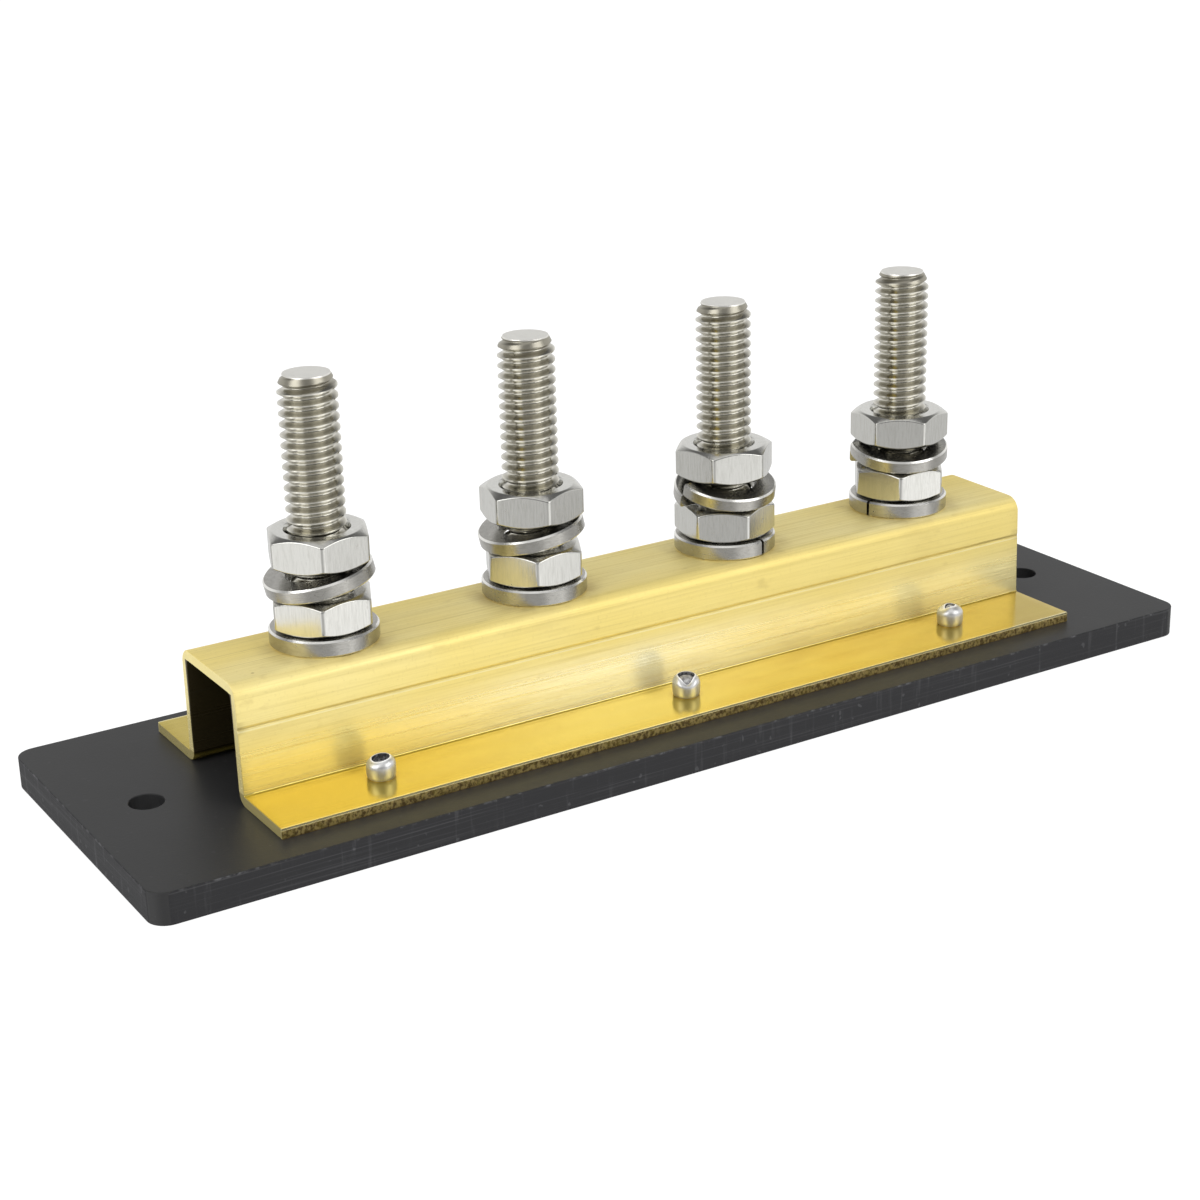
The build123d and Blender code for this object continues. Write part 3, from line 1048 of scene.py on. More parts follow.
@dataclass
class Channel:
    """The folded brass sheet, with its die creases, sheared edges and drilled holes."""

    finish: BrassFinish
    low: Vector
    high: Vector
    flange_top: float
    stud_places: Sequence[float]
    rivet_places: Sequence[tuple[float, float]]
    lean_degrees: float = 1.5
    top_half_width: float = 8.55 * MM
    top_bend: float = 2.2 * MM
    bend_reach: float = 2.4 * MM
    foot_bend: float = 0.3 * MM
    stud_hole_radius: float = 4.15 * MM
    rivet_hole_radius: float = 1.65 * MM
    step: float = 0.8 * MM
    arris: float = 0.11 * MM
    crease_depth: float = 0.10 * MM
    crease_width: float = 0.34 * MM
    bow: float = 0.05 * MM
    longest_run: float = 0.9 * MM
    crease_reach: float = 0.5 * MM
    edge_band: float = 0.04 * MM
    edge_loss: float = 0.07 * MM
    tear: float = 0.05 * MM
    HOLE_ROUND: ClassVar[int] = 48
    EDGE_PARTS: ClassVar[int] = 5
    CREASE_PARTS: ClassVar[int] = 8

    def bend_points(self, sunk: float) -> list[Vector]:
        """The corners of the hat section before they are bent round.

        Args:
            sunk: How far the line lies inside the outer face.

        Returns:
            The corners from the back flange's edge to the front flange's, as y and z.
        """
        lean = math.radians(self.lean_degrees)
        half = self.high.y
        web = self.high.z - sunk
        flange = self.flange_top - sunk
        shift = sunk / math.cos(lean)

        def wall(height: float) -> float:
            """Half the width between the walls at a height."""
            return self.top_half_width + (self.high.z - height) * math.tan(lean) - shift

        corners = [(half, flange), (wall(flange), flange), (wall(web), web)]
        return [Vector(c) for c in corners] + [Vector((-y, z)) for y, z in reversed(corners)]

    def bent(self, corners: Sequence[Vector], radii: Sequence[float], steps: int = 9) -> list[Vector]:
        """A line with its inner corners rounded.

        Args:
            corners: The line's corners.
            radii: Radius at each corner but the first and the last.
            steps: Points of each round.

        Returns:
            The line's points.
        """
        line = [corners[0]]
        for before, corner, after, radius in zip(corners, corners[1:], corners[2:], radii):
            into = (before - corner).normalized()
            out = (after - corner).normalized()
            half = into.angle(out) / 2
            centre = corner + (into + out).normalized() * (radius / math.sin(half))
            start = corner + into * (radius / math.tan(half)) - centre
            end = corner + out * (radius / math.tan(half)) - centre
            sweep = start.angle_signed(end)
            for i in range(steps + 1):
                line.append(centre + Matrix.Rotation(-sweep * i / steps, 2) @ start)
        line.append(corners[-1])
        return line

    def finer(self, line: Sequence[Vector], longest: float) -> list[Vector]:
        """The same line with long runs divided.

        Args:
            line: The points.
            longest: The longest run that stays.

        Returns:
            The points with more between them.
        """
        result = [line[0]]
        for before, after in zip(line, line[1:]):
            parts = max(1, math.ceil((after - before).length / longest))
            result += [before.lerp(after, (i + 1) / parts) for i in range(parts)]
        return result

    def marked(self, point: Vector) -> Vector:
        """A point of the outer line after the die has left its crease and a slight bow in the wall.

        Args:
            point: The point, as y and z.

        Returns:
            The moved point.
        """
        if not self.flange_top + MM < point.y < self.high.z - self.bend_reach:
            return point
        side = math.copysign(1.0, point.x)
        away = (point.y - self.finish.crease) / (self.crease_width / 2)
        dent = self.crease_depth * math.exp(-away * away)
        span = (point.y - self.flange_top) / (self.finish.crease - self.flange_top)
        hollow = self.bow * math.sin(math.pi * min(max(span, 0.0), 1.0))
        return Vector((point.x - side * (dent + hollow), point.y))

    def near_crease(self, line: Sequence[Vector]) -> list[Vector]:
        """The same line with points close together where the crease lies.

        Args:
            line: The points.

        Returns:
            The points with more beside the crease.
        """
        below = self.finish.crease - self.crease_reach
        above = self.finish.crease + self.crease_reach
        result: list[Vector] = []
        for before, after in zip(line, line[1:]):
            low, high = sorted((before.y, after.y))
            divided = low < above and high > below and high - low > self.arris
            parts = self.CREASE_PARTS if divided else 1
            result += [before.lerp(after, i / parts) for i in range(parts)]
        return [*result, line[-1]]

    def section(self) -> list[Vector]:
        """The closed outline of the sheet.

        Returns:
            Its points, as y and z.
        """
        foot = self.foot_bend
        top = self.top_bend
        outer = self.bent(self.bend_points(0.0), [foot, top, top, foot])
        inner = self.bent(self.bend_points(SHEET), [foot + SHEET, top - SHEET, top - SHEET, foot + SHEET])
        outer = [self.marked(p) for p in self.near_crease(self.finer(outer, self.longest_run))]
        edge = self.finer([inner[0], outer[0]], SHEET / self.EDGE_PARTS)[1:-1]
        far_edge = self.finer([outer[-1], inner[-1]], SHEET / self.EDGE_PARTS)[1:-1]
        return outer + far_edge + inner[::-1] + edge

    def build(self) -> None:
        """Extrude the section, ease its ends, tear its sheared edges a little and drill it."""
        section = self.section()
        eased = self.inset(section)
        start = self.low.x
        end = self.high.x
        count = round((end - start) / self.step)
        stations = [start + (end - start) * i / count for i in range(2, count - 1)]
        rings = [self.ring(section, x) for x in (start + self.arris, *stations, end - self.arris)]
        rings = [self.ring(eased, start), *rings, self.ring(eased, end)]
        channel = new_object("folded_brass_channel", mesh_of("folded_brass_channel", *skin(rings, False)))
        self.drill(channel)
        hand_over(polished(channel, 0.0), "bus_channel", Slot.BRASS, self.finish.material())

    def inset(self, section: Sequence[Vector]) -> list[Vector]:
        """The section drawn in by the width of an arris.

        Args:
            section: The closed outline.

        Returns:
            The smaller outline.
        """
        result = []
        for before, point, after in zip([section[-1], *section], section, [*section[1:], section[0]]):
            along = after - before
            result.append(point + Vector((-along.y, along.x)).normalized() * self.arris)
        return result

    def ring(self, section: Sequence[Vector], x: float) -> Ring:
        """One cross-section, with the long edges a little torn by the shears.

        Args:
            section: The outline, as y and z.
            x: Where it stands.

        Returns:
            Its points.
        """
        ring = []
        for y, z in section:
            if abs(y) > self.high.y - self.edge_band:
                torn = noise.noise(Vector((x * 900, z * 900, math.copysign(3.0, y))))
                wave = noise.noise(Vector((x * 130, 7.0, math.copysign(9.0, y))))
                y -= math.copysign(self.edge_loss + self.tear * (torn + wave), y)
            ring.append(Vector((x, y, z)))
        return ring

    def drill(self, channel: bpy.types.Object) -> None:
        """Cut the holes for the studs and the rivets.

        Args:
            channel: The folded sheet.
        """
        holes = [(x, 0.0, self.high.z, self.stud_hole_radius) for x in self.stud_places]
        holes += [(x, y, self.flange_top, self.rivet_hole_radius) for x, y in self.rivet_places]
        points: list[Vector] = []
        faces: list[list[int]] = []
        for x, y, top, radius in holes:
            rows = [steady(radius, -2 * SHEET), steady(radius, SHEET)]
            tube, sides = skin(polar_rings(Vector((x, y, top)), rows, self.HOLE_ROUND), False)
            faces += [[len(points) + i for i in side] for side in sides]
            points += tube
        drill = new_object("drill", mesh_of("drill", points, faces))
        cut = channel.modifiers.new("holes", "BOOLEAN")
        cut.object = drill
        cut.operation = "DIFFERENCE"
        cut.solver = "EXACT"
        frozen(channel)
        bpy.data.objects.remove(drill)


@dataclass(frozen=True)
class Stack:
    """How the pieces on one stud sit: turns, splits and lean in degrees, rise and a crest's height."""

    lower_turn: float
    upper_turn: float
    lower_split: float
    upper_split: float
    rise: float
    lean: float
    crest: float


@dataclass
class Hardware:
    """One stud with its nuts and washers."""

    number: int
    x: float
    stack: Stack
    thread: RolledThread
    coil: SplitCoil
    nut_finish: bpy.types.Material
    thread_finish: bpy.types.Material
    washer_finish: bpy.types.Material
    across_flats: float = 12.7 * MM
    bearing_inset: float = 0.35 * MM
    crest_radius: float = 3.9 * MM
    pitch: float = 25.4 / 18 * MM
    thread_depth: float = 0.866 * MM
    tip_radius: float = 3.075 * MM
    tip_slope: float = 0.825 / 1.6
    bore_clearance: float = 0.04 * MM
    mouth_radius: float = 4.45 * MM
    mouth_depth: float = 1.2 * MM
    nut_arris: float = 0.13 * MM
    corner_radius: float = 0.62 * MM
    section_width: float = 3.05 * MM
    washer_bore: float = 4.25 * MM
    open_thickness: float = 1.95 * MM
    slit: float = 0.3 * MM
    washer_rounding: float = 0.24 * MM
    washer_crisp_degrees: float = 36.0
    thread_in_head: float = 0.4 * MM
    high_side_from_split: float = 265.0

    def node(self, kind: str) -> str:
        """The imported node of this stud's piece of a kind."""
        return f"{kind}_{self.number}"

    def build(self) -> None:
        """Make the five pieces."""
        self.stud()
        self.nut("lower_nut", self.stack.lower_turn)
        self.nut("upper_nut", self.stack.upper_turn)
        self.lower_washer()
        self.spring_washer()

    def hexagon_radius(self, turn: float) -> Callable[[float], float]:
        """How far a hexagon with rounded corners reaches at an angle.

        Args:
            turn: Where a corner points, in degrees.

        Returns:
            The function of the angle in radians.
        """
        sixth = math.pi / 3
        apothem = self.across_flats / 2
        corner = (apothem - self.corner_radius) / math.cos(sixth / 2)

        def reach(angle: float) -> float:
            """The reach at one angle.

            Args:
                angle: The angle in radians.

            Returns:
                The distance from the axis.
            """
            off = (angle - math.radians(turn) + sixth / 2) % sixth - sixth / 2
            flat = apothem / math.cos(sixth / 2 - abs(off))
            side = corner * math.sin(off)
            if abs(side) >= self.corner_radius:
                return flat
            return min(flat, corner * math.cos(off) + math.sqrt(self.corner_radius**2 - side * side))

        return reach

    def hexagon_angles(self, turn: float) -> list[float]:
        """Where a hexagon's points stand: close together round its corners.

        Args:
            turn: Where a corner points, in degrees.

        Returns:
            The angles in radians.
        """
        steps = (-2.7, -1.9, -1.3, -0.65, 0.0, 0.65, 1.3, 1.9, 2.7, *range(6, 60, 6))
        return [math.radians(turn + 60.0 * side + step) for side in range(6) for step in steps]

    def hexagon_rows(self, height: float, turn: float) -> list[Row]:
        """The outside of a hexagon with both ends chamfered.

        Args:
            height: Its height.
            turn: Where a corner points, in degrees.

        Returns:
            The rows from the lower bearing face to the upper.
        """
        reach = self.hexagon_radius(turn)
        bearing = self.across_flats / 2 - self.bearing_inset
        slope = math.tan(math.radians(30))
        return [
            steady(bearing, 0.0),
            lambda angle: (reach(angle), (reach(angle) - bearing) * slope),
            lambda angle: (reach(angle), height - (reach(angle) - bearing) * slope),
            steady(bearing, height),
        ]

    def nut(self, kind: str, turn: float) -> None:
        """A thin nut with countersunk mouths.

        Args:
            kind: Which of the two nuts.
            turn: Where a corner points, in degrees.
        """
        low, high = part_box(self.node(kind))
        height = high[2] - low[2]
        bore = self.crest_radius + self.bore_clearance
        rows = [
            steady(bore, self.mouth_depth),
            steady(self.mouth_radius, 0.0),
            *self.hexagon_rows(height, turn),
            steady(self.mouth_radius, height),
            steady(bore, height - self.mouth_depth),
        ]
        rings = polar_rings(Vector((self.x, 0.0, low[2])), rows, self.hexagon_angles(turn))
        nut = new_object(f"hexagon_{kind}_{self.number}", mesh_of(kind, *skin(rings, True)))
        polished(nut, self.nut_arris, 3)
        hand_over(nut, self.node(kind), Slot.STAINLESS, self.nut_finish)

    def wound(self, foot: float, tip: float) -> bpy.types.Object:
        """The thread, a little longer than the bolt at both ends.

        Args:
            foot: Where its first turn starts.
            tip: Where the bolt ends.

        Returns:
            The thread round the origin's upright axis.
        """
        turns = math.ceil((tip - foot) / self.pitch) + 2
        settings = {
            "Crest Radius": self.crest_radius,
            "Depth": self.thread_depth,
            "Pitch": self.pitch,
            "Foot": foot,
            "Tip": tip,
            "Tip Radius": self.tip_radius,
            "Tip Slope": self.tip_slope,
            "Turns": float(turns),
            "Start": -(((self.stack.crest - foot) / self.pitch + 0.5) % 1.0),
            "Rows": turns * RolledThread.ROUND + 1,
            "Material": self.thread_finish,
        }
        return self.thread.make(f"threaded_stud_bolt_{self.number}", settings)

    def stud(self) -> None:
        """The bolt: a wound thread, cut flat at both ends, and its head under the web."""
        node = self.node("stud_bolt")
        low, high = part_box(node)
        web_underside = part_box("bus_channel")[1][2] - SHEET
        bolt = self.wound(web_underside - 3 * self.pitch, high[2])
        work = bmesh.new()
        work.from_mesh(bolt.data)
        for height, keep_below in ((high[2], True), (web_underside - self.thread_in_head, False)):
            cut = bmesh.ops.bisect_plane(
                work,
                geom=[*work.verts, *work.edges, *work.faces],
                plane_co=(0.0, 0.0, height),
                plane_no=(0.0, 0.0, 1.0),
                clear_outer=keep_below,
                clear_inner=not keep_below,
            )
            rim = [e for e in cut["geom_cut"] if isinstance(e, bmesh.types.BMEdge)]
            bmesh.ops.contextual_create(work, geom=rim)
        bmesh.ops.translate(work, verts=work.verts, vec=(self.x, 0.0, 0.0))
        rows = self.hexagon_rows(web_underside - low[2], 0.0)
        rings = polar_rings(Vector((self.x, 0.0, low[2])), rows, self.hexagon_angles(0.0))
        work.from_mesh(mesh_of("head", *skin(rings, False)))
        bmesh.ops.recalc_face_normals(work, faces=work.faces)
        work.to_mesh(bolt.data)
        work.free()
        polished(bolt, 0.0)
        # Painted shade: a mark that peaks halfway down each flank.
        flank = bolt.data.attributes.new(RolledThread.FLANK_SHADE, "FLOAT", "POINT")
        axis = Vector((self.x, 0.0))
        for vertex, value in zip(bolt.data.vertices, flank.data):
            depth = (self.crest_radius - (vertex.co.xy - axis).length) / self.thread_depth
            value.value = 4.0 * depth * (1.0 - depth) if 0.0 < depth < 1.0 else 0.0
        hand_over(bolt, node, Slot.STAINLESS, self.thread_finish)

    def washer(self, kind: str, name: str, rise: float, thickness: float, turn: Matrix) -> None:
        """A washer, wound, turned and set in the middle of its solid's height.

        Args:
            kind: Which of the two washers.
            name: The start of its name.
            rise: How much the coil rises.
            thickness: The bar's thickness.
            turn: How it is turned.
        """
        mean = self.washer_bore + self.section_width / 2
        settings = {
            "Mean Radius": mean,
            "Rise": rise,
            "Turn": 1.0 - self.slit / (math.tau * mean),
            "Width": self.section_width,
            "Thickness": thickness,
            "Rounding": self.washer_rounding,
            "Material": self.washer_finish,
        }
        washer = self.coil.make(f"{name}_{self.number}", settings)
        washer.data.transform(turn)
        heights = [v.co.z for v in washer.data.vertices]
        seat = middle(*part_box(self.node(kind))).z - (min(heights) + max(heights)) / 2
        washer.data.transform(Matrix.Translation((self.x, 0.0, seat)))
        tidy(washer.data)
        polished(washer, 0.0, crisp_degrees=self.washer_crisp_degrees)
        hand_over(washer, self.node(kind), Slot.STAINLESS, self.washer_finish)

    def lower_washer(self) -> None:
        """The washer that is pressed flat."""
        low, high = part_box(self.node("lower_washer"))
        turn = Matrix.Rotation(math.radians(self.stack.lower_split), 4, "Z")
        self.washer("lower_washer", "flat_split_washer", 0.0, high[2] - low[2], turn)

    def spring_washer(self) -> None:
        """The open washer, which leans between the nuts."""
        split = math.radians(self.stack.upper_split)
        high_side = math.radians(self.stack.upper_split + self.high_side_from_split)
        lean = Matrix.Rotation(high_side, 4, "Z") @ Matrix.Rotation(-math.radians(self.stack.lean), 4, "Y")
        lean = lean @ Matrix.Rotation(split - high_side, 4, "Z")
        self.washer("spring_washer", "open_split_washer", self.stack.rise, self.open_thickness, lean)


@dataclass(frozen=True)
class Mouth:
    """How one rivet's tail has closed."""

    tilt: float
    tilt_azimuth: float
    notch: float
    notch_azimuth: float
    notch_width: float
    opening: float
    pin_rise: float


@dataclass
class Rivet:
    """A blind rivet and the stub of its pin."""

    number: int
    mouth: Mouth
    rivet_finish: bpy.types.Material
    pin_finish: bpy.types.Material
    flange_top: float
    MOUTH: ClassVar[str] = "mouth"
    ROUND: ClassVar[int] = 64
    PIN_ROUND: ClassVar[int] = 32
    barrel: float = 1.6 * MM
    foot: float = 1.75 * MM
    belly: float = 1.95 * MM
    bore: float = 0.9 * MM
    bore_mouth: float = 1.15 * MM
    bore_mouth_depth: float = 0.4 * MM
    head_step: float = 0.02 * MM
    head_rim: float = 0.35 * MM
    counterbore: float = 1.3 * MM
    rim_degrees: float = 60.0
    lip: float = 0.05 * MM
    crater_depth: float = 0.75 * MM
    pin_shank: float = 0.86 * MM
    pin_head_below: float = 0.95 * MM
    pin_neck: float = 0.15 * MM
    pin_crown: float = 0.6 * MM

    def build(self) -> None:
        """Make the rivet and its pin."""
        self.shell()
        self.pin()

    def shaped(self, radius: float, height: float, tall: float) -> Row:
        """A ring of the tail, pushed over as this rivet's mouth has closed.

        Args:
            radius: The ring's plain radius.
            height: Its plain height over the flange.
            tall: The tail's height.

        Returns:
            The ring's function.
        """
        mouth = self.mouth
        weight = min(max((height / tall - 0.35) / 0.65, 0.0), 1.0) ** 1.5

        def row(angle: float) -> tuple[float, float]:
            """The ring at one angle.

            Args:
                angle: The angle in radians.

            Returns:
                Its radius and height.
            """
            over = math.cos(angle - math.radians(mouth.tilt_azimuth)) * radius / self.belly
            away = (angle - math.radians(mouth.notch_azimuth) + math.pi) % math.tau - math.pi
            cut = math.exp(-((away / mouth.notch_width) ** 2))
            lump = noise.noise(Vector((math.cos(angle), math.sin(angle), self.number * 3.7 + height * 400)))
            sunk = mouth.tilt * (over + 1) + mouth.notch * cut + 0.05 * MM * (lump + 1)
            pulled = radius * (1 + 0.05 * lump * weight)
            return pulled, self.flange_top + height - weight * sunk

        return row

    def head_rows(self, bottom: float, radius: float) -> list[Row]:
        """The head under the plate, from its bore to its rim.

        Args:
            bottom: The head's lowest height.
            radius: Its radius.

        Returns:
            The rows.
        """
        rows = [
            steady(self.bore, bottom + self.bore_mouth_depth),
            steady(self.bore_mouth, bottom),
            steady(self.barrel, bottom + self.head_step),
        ]
        for share in (i / 6 for i in range(1, 7)):
            drop = (self.counterbore - self.head_rim - bottom) * (1 - math.sqrt(1 - share * share * 0.96))
            rows.append(steady(self.barrel + (radius - self.barrel) * share, bottom + drop))
        return [*rows, steady(radius, self.counterbore)]

    def tail_rows(self, tall: float) -> list[Row]:
        """The barrel and the tail that was pulled out over the flange, up to the rim of its mouth.

        Args:
            tall: The tail's height.

        Returns:
            The rows.
        """
        opening = self.mouth.opening
        rows = [
            steady(self.barrel, self.counterbore),
            steady(self.barrel, self.flange_top),
            steady(self.foot, self.flange_top),
        ]
        for share, swell in ((0.05, 0.55), (0.18, 0.85), (0.36, 1.0), (0.52, 1.0)):
            rows.append(self.shaped(self.foot + (self.belly - self.foot) * swell, tall * share, tall))
        last = math.radians(self.rim_degrees)
        for turn in (last * i / 10 for i in range(1, 11)):
            inward = (math.cos(turn) - math.cos(last)) / (1 - math.cos(last))
            share = 0.55 + 0.45 * math.sin(turn) / math.sin(last)
            rows.append(self.shaped(opening + (self.belly - opening) * inward, tall * share, tall))
        return rows

    def shell(self) -> None:
        """The rivet itself."""
        node = f"rivet_{self.number}"
        low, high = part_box(node)
        tall = high[2] - self.flange_top
        crater = high[2] - self.crater_depth
        opening = self.mouth.opening
        outside = [*self.head_rows(low[2], (high[0] - low[0]) / 2), *self.tail_rows(tall)]
        inside = [
            self.shaped(opening - 0.6 * self.lip, tall * 0.97, tall),
            self.shaped(opening - self.lip, tall * 0.90, tall),
            steady(opening - self.lip, crater - 0.6 * MM),
            steady(self.bore, crater - 0.9 * MM),
        ]
        centre = Vector((*middle(low, high).xy, 0.0))
        rings = polar_rings(centre, [*outside, *inside], self.ROUND)
        rivet = polished(new_object(f"blind_rivet_{self.number}", mesh_of(node, *skin(rings, True))), 0.0)
        # The mark picks out the crater's inside for painted shade and its rim for a painted highlight.
        mouth = rivet.data.attributes.new(self.MOUTH, "FLOAT", "POINT")
        for place, value in enumerate(mouth.data):
            past_rim = place // self.ROUND - (len(outside) - 1)
            value.value = (past_rim > 0) - (past_rim == 0) - 0.5 * (past_rim == -1)
        hand_over(rivet, node, Slot.RIVET, self.rivet_finish)

    def pin(self) -> None:
        """The pin's stub, with its domed head in the crater."""
        node = f"rivet_mandrel_{self.number}"
        low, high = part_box(node)
        head = self.mouth.opening - 0.06 * MM
        top = high[2] + self.mouth.pin_rise
        under = top - self.pin_head_below
        broken = ((0.30 * MM, 0.0), (0.72 * MM, 0.10 * MM), (self.pin_shank, 0.35 * MM))
        rows = [steady(radius, low[2] + height) for radius, height in broken]
        rows += [steady(self.pin_shank, under - self.pin_neck), steady(head, under)]
        for turn in (math.pi / 2 * i / 6.5 for i in range(1, 7)):
            rows.append(steady(head * math.cos(turn), top - self.pin_crown * (1 - math.sin(turn))))
        rings = polar_rings(Vector((*middle(low, high).xy, 0.0)), rows, self.PIN_ROUND)
        pin = polished(new_object(f"rivet_pin_{self.number}", mesh_of(node, *skin(rings, False))), 0.0)
        hand_over(pin, node, Slot.MANDREL, self.pin_finish)


# Studio


@dataclass(frozen=True)
class Softbox:
    """A soft area light that faces the object, by its angles in degrees, sides and brightness."""

    name: str
    azimuth: float
    elevation: float
    width: float
    height: float
    radiance: float

    def build(self, around: float, distance: float) -> None:
        """Set it up.

        Args:
            around: The camera's azimuth in radians, from which the light's own is counted.
            distance: How far it stands.
        """
        light = bpy.data.lights.new(self.name, "AREA")
        light.shape = "RECTANGLE"
        light.size, light.size_y = self.width, self.height
        light.energy = self.radiance * math.pi * self.width * self.height
        lamp = bpy.data.objects.new(self.name, light)
        bpy.context.scene.collection.objects.link(lamp)
        around += math.radians(self.azimuth)
        up = math.radians(self.elevation)
        away = Vector((math.cos(around) * math.cos(up), math.sin(around) * math.cos(up), math.sin(up)))
        turn = away.to_track_quat("Z", "Y").to_matrix().to_4x4()
        lamp.matrix_world = Matrix.Translation(away * distance) @ turn
        lamp.visible_camera = False


@dataclass(frozen=True)
class Glare:
    """A bright band low in the room, by its angles in radians from the camera's side."""

    start: float
    full: float
    fading: float
    end: float
    strength: float


@dataclass
class Studio:
    """A pale floor, soft lights and the camera of the photograph."""

    camera_place: Triple = (-162.463 * MM, -257.648 * MM, 128.851 * MM)
    camera_right: Triple = (0.84817, -0.52912, -0.02531)
    camera_up: Triple = (0.20398, 0.28213, 0.93744)
    lens: float = 68.24
    sensor: float = 36.0
    floor_size: float = 6.0
    floor_drop: float = 0.02 * MM
    light_distance: float = 0.75
    softboxes: tuple[Softbox, ...] = (
        Softbox("left_light", -50.0, 36.0, 0.45, 0.45, 2.6),
        Softbox("right_light", 62.0, 34.0, 0.50, 0.45, 2.3),
    )
    glares: tuple[Glare, ...] = (
        Glare(0.98, 1.10, 1.14, 1.26, 0.35),
        Glare(-1.22, -1.12, -1.06, -0.98, 0.45),
    )
    room: float = 0.14
    backdrop: float = 0.92
    brow: float = 0.38
    overhead: float = 0.55
    ambient: float = 1.0

    def build(self) -> None:
        """Set up the floor, the world, the lights and the camera."""
        self.floor()
        self.world()
        around = math.atan2(self.camera_place[1], self.camera_place[0])
        for softbox in self.softboxes:
            softbox.build(around, self.light_distance)
        self.camera()
        bpy.context.scene.view_settings.view_transform = "Standard"

    def floor(self) -> None:
        """A white floor with a soft shadow. Metal sees the room through it, and so does a view from below."""
        half = self.floor_size / 2
        corners = [(x * half, y * half, -self.floor_drop) for x, y in ((-1, -1), (1, -1), (1, 1), (-1, 1))]
        mesh = bpy.data.meshes.new("floor")
        mesh.from_pydata(corners, [], [(0, 1, 2, 3)])
        floor = new_object("floor", mesh)
        material = bpy.data.materials.new("white_floor")
        material.use_nodes = True
        n = Nodes(material.node_tree)
        path = n.add("ShaderNodeLightPath")
        camera, through, glossy = n.read(path, "Is Camera Ray", "Is Transmission Ray", "Is Glossy Ray")
        paper = n.add("ShaderNodeBsdfDiffuse", {"Color": (0.22, 0.22, 0.22, 1.0)}).outputs[0]
        plain = n.add("ShaderNodeBsdfDiffuse", {"Color": (0.80, 0.80, 0.80, 1.0)}).outputs[0]
        glow = n.add("ShaderNodeEmission", {"Color": (1.0, 1.0, 1.0, 1.0), "Strength": 0.86}).outputs[0]
        lit = n.add("ShaderNodeAddShader", {0: paper, 1: glow}).outputs[0]
        shown = n.math("MAXIMUM", camera, through)
        seen = n.add("ShaderNodeMixShader", {0: shown, 1: plain, 2: lit}).outputs[0]
        clear = n.add("ShaderNodeBsdfTransparent").outputs[0]
        back = n.value("ShaderNodeNewGeometry", output="Backfacing")
        both = n.add("ShaderNodeMixShader", {0: n.math("MAXIMUM", back, glossy), 1: seen, 2: clear})
        n.add("ShaderNodeOutputMaterial", {"Surface": both.outputs[0]})
        floor.data.materials.append(material)

    def world(self) -> None:
        """White where the camera or metal sees it, dimmer overhead for metal, and plain for the rest."""
        world = bpy.data.worlds.new("studio")
        bpy.context.scene.world = world
        world.use_nodes = True
        n = Nodes(world.node_tree)
        path = n.add("ShaderNodeLightPath")
        camera, glossy, clear = n.read(path, "Is Camera Ray", "Is Glossy Ray", "Is Transmission Ray")
        direction = n.add("ShaderNodeTexCoord").outputs["Generated"]
        x, y, height = n.read(n.add("ShaderNodeSeparateXYZ", {0: direction}), 0, 1, 2)
        to_camera = Vector(self.camera_place).xy.normalized()
        level = x * to_camera.x + y * to_camera.y
        across = y * to_camera.x - x * to_camera.y
        facing = level / n.math("SQRT", 1.0001 - height * height)
        turn = n.math("ARCTAN2", across, level)
        paper = 0.80 + n.smooth(facing, 0.0, 0.45) * 0.30 - n.smooth(facing, 0.80, 0.97) * 0.50
        paper = paper - n.smooth(facing, -0.75, -0.25) * n.smooth(facing, 0.30, 0.0) * 0.15
        for g in self.glares:
            paper = paper + n.smooth(turn, g.start, g.full) * n.smooth(turn, g.end, g.fading) * g.strength
        rear = n.smooth(facing, 0.35, -0.35)
        brow = n.smooth(height, 0.50, 0.75) * n.smooth(level, 0.0, 0.2)
        sky = self.room + n.smooth(height, 0.72, 0.30) * rear * (self.backdrop - self.room)
        sky = sky + brow * self.brow + n.smooth(height, 0.90, 0.97) * self.overhead
        mirrored = sky + n.smooth(height, 0.06, -0.04) * (paper - sky)
        white = n.math("MAXIMUM", camera, clear)
        strength = white + (1.0 - white) * (glossy * mirrored + (1.0 - glossy) * self.ambient)
        background = n.add("ShaderNodeBackground", {"Color": (1.0, 1.0, 1.0, 1.0), "Strength": strength})
        n.add("ShaderNodeOutputWorld", {"Surface": background.outputs[0]})

    def camera(self) -> None:
        """The camera at the photograph's place."""
        data = bpy.data.cameras.new("camera")
        data.lens = self.lens
        data.sensor_width = self.sensor
        data.clip_start = 0.01
        data.clip_end = 20.0
        camera = bpy.data.objects.new("camera", data)
        bpy.context.scene.collection.objects.link(camera)
        right = Vector(self.camera_right).normalized()
        up = Vector(self.camera_up)
        up = (up - right * up.dot(right)).normalized()
        turn = Matrix((right, up, right.cross(up))).transposed().to_4x4()
        camera.matrix_world = Matrix.Translation(self.camera_place) @ turn
        bpy.context.scene.camera = camera


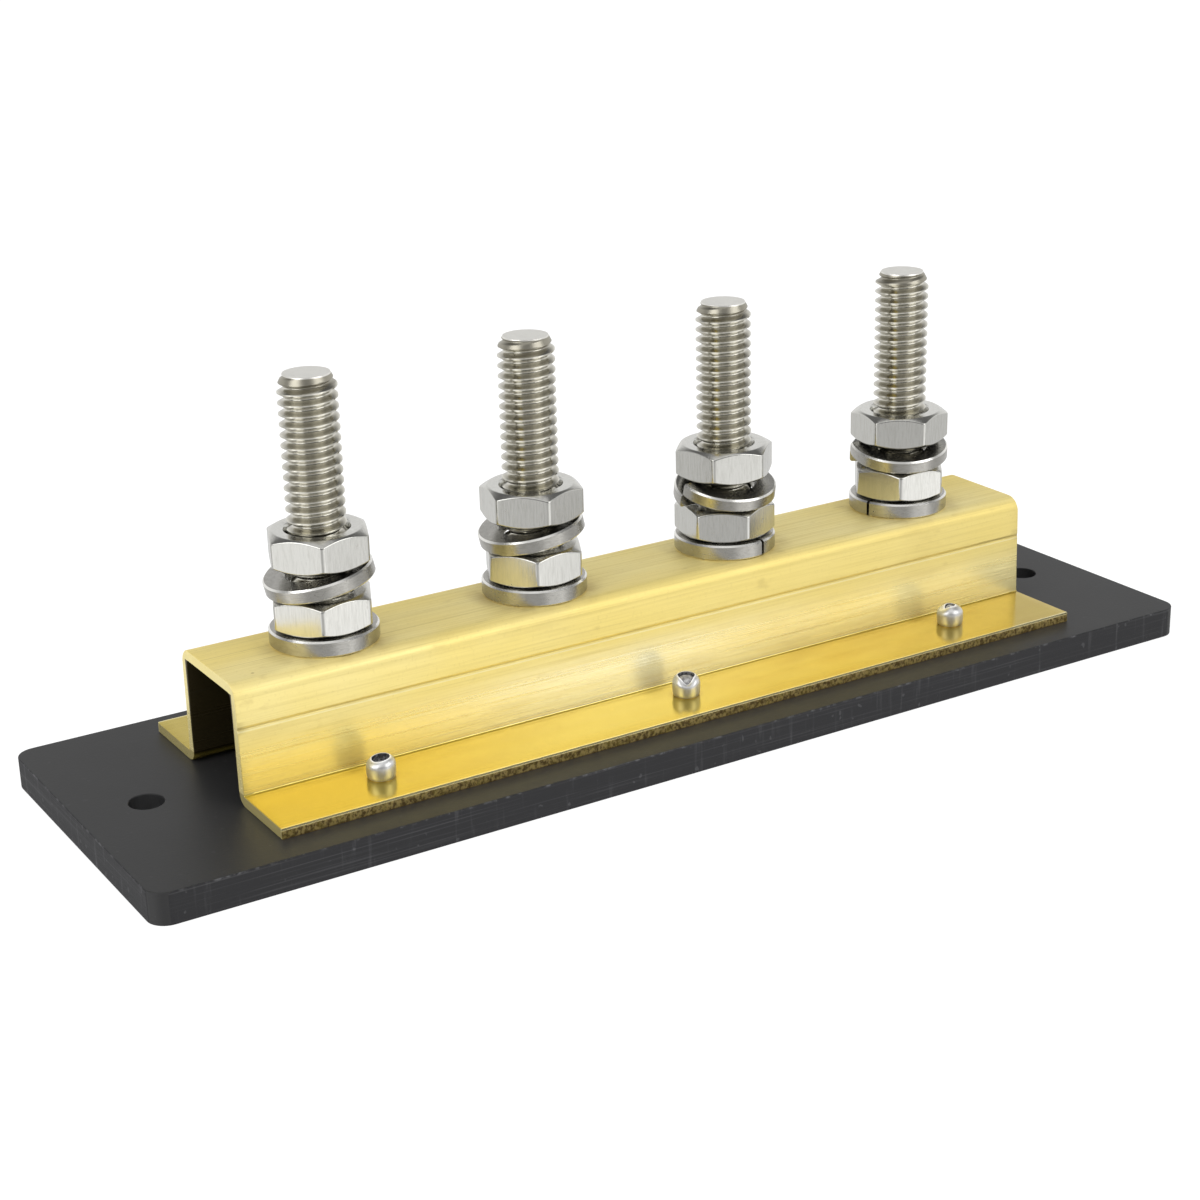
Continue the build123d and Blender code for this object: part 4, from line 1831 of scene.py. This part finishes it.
@dataclass
class BusBar:
    """The whole object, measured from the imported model."""

    stacks: tuple[Stack, ...] = (
        Stack(5.4, 9.5, 100.0, 76.0, 1.6 * MM, 12.2, 54.76 * MM),
        Stack(4.7, 19.0, 95.0, 74.0, 1.5 * MM, 11.7, 54.50 * MM),
        Stack(23.3, 43.5, -77.6, 177.0, 2.0 * MM, 12.0, 54.62 * MM),
        Stack(54.4, 22.4, -167.6, 148.0, 1.5 * MM, 9.6, 54.17 * MM),
    )
    mouths: tuple[Mouth, ...] = (
        Mouth(0.22 * MM, 178.0, 0.12 * MM, -140.0, 0.8, 1.20 * MM, -0.18 * MM),
        Mouth(0.04 * MM, -120.0, 0.95 * MM, -118.0, 0.62, 1.22 * MM, 0.48 * MM),
        Mouth(0.06 * MM, 80.0, 0.45 * MM, 165.0, 0.7, 0.78 * MM, 0.60 * MM),
        Mouth(0.30 * MM, 40.0, 0.20 * MM, 60.0, 0.7, 1.12 * MM, 0.10 * MM),
        Mouth(0.12 * MM, 150.0, 0.60 * MM, 140.0, 0.6, 1.08 * MM, 0.20 * MM),
        Mouth(0.25 * MM, -20.0, 0.25 * MM, -30.0, 0.8, 1.14 * MM, 0.0),
    )
    foot_half_width: float = 8.94 * MM
    crease_below_web: float = 5.93 * MM
    washer_radius: float = 7.3 * MM
    sawn_tip: float = 0.2 * MM

    def build(self) -> None:
        """Make every piece in order."""
        plate = Vector(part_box("base_plate")[1])
        low, high = (Vector(c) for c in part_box("bus_channel"))
        flange_top = plate.z + SHEET
        studs = tuple(middle(*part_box(f"stud_bolt_{n}")).x for n in range(1, len(self.stacks) + 1))
        rivets = tuple(tuple(middle(*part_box(f"rivet_{n}")).xy) for n in range(1, len(self.mouths) + 1))
        BasePlate(PlateFinish(plate.x, plate.y, plate.z)).build()
        brass = BrassFinish(
            ends=(low.x, high.x),
            front=high.y,
            web=high.z,
            flange=flange_top,
            foot=self.foot_half_width,
            crease=high.z - self.crease_below_web,
            studs=studs,
            rivets=rivets,
            washer_radius=self.washer_radius,
        )
        Channel(brass, low, high, flange_top, studs, rivets).build()
        self.hardware(studs)
        rivet = RivetFinish().material()
        pin = MandrelFinish().material()
        for n, mouth in enumerate(self.mouths, start=1):
            Rivet(n, mouth, rivet, pin, flange_top).build()

    def hardware(self, studs: Sequence[float]) -> None:
        """Make the studs with their nuts and washers.

        Args:
            studs: Where they stand along the bar.
        """
        nut = SteelFinish("bright_nut_steel", grain=(2.4, 2.4, 0.3), marks=0.34).material()
        thread = SteelFinish(
            "rolled_thread_steel",
            metal=(0.74, 0.72, 0.64),
            shade=(0.25, 0.23, 0.175),
            roughness=0.11,
            grain_depth=0.006,
            marks=0.30,
            matt_above=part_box("stud_bolt_1")[1][2] - self.sawn_tip,
        ).material()
        washer = SteelFinish(
            "washer_steel",
            metal=(0.45, 0.44, 0.41),
            shade=(0.28, 0.27, 0.24),
            roughness=0.19,
            grain=(1.0, 1.0, 3.0),
        ).material()
        thread_tree = RolledThread()
        coil_tree = SplitCoil()
        for n, (x, stack) in enumerate(zip(studs, self.stacks), start=1):
            Hardware(n, x, stack, thread_tree, coil_tree, nut, thread, washer).build()


def main() -> None:
    """Build the bus bar and its studio."""
    logging.basicConfig(level=logging.INFO, format="%(message)s")
    BusBar().build()
    Studio().build()


if __name__ == "__main__":
    main()
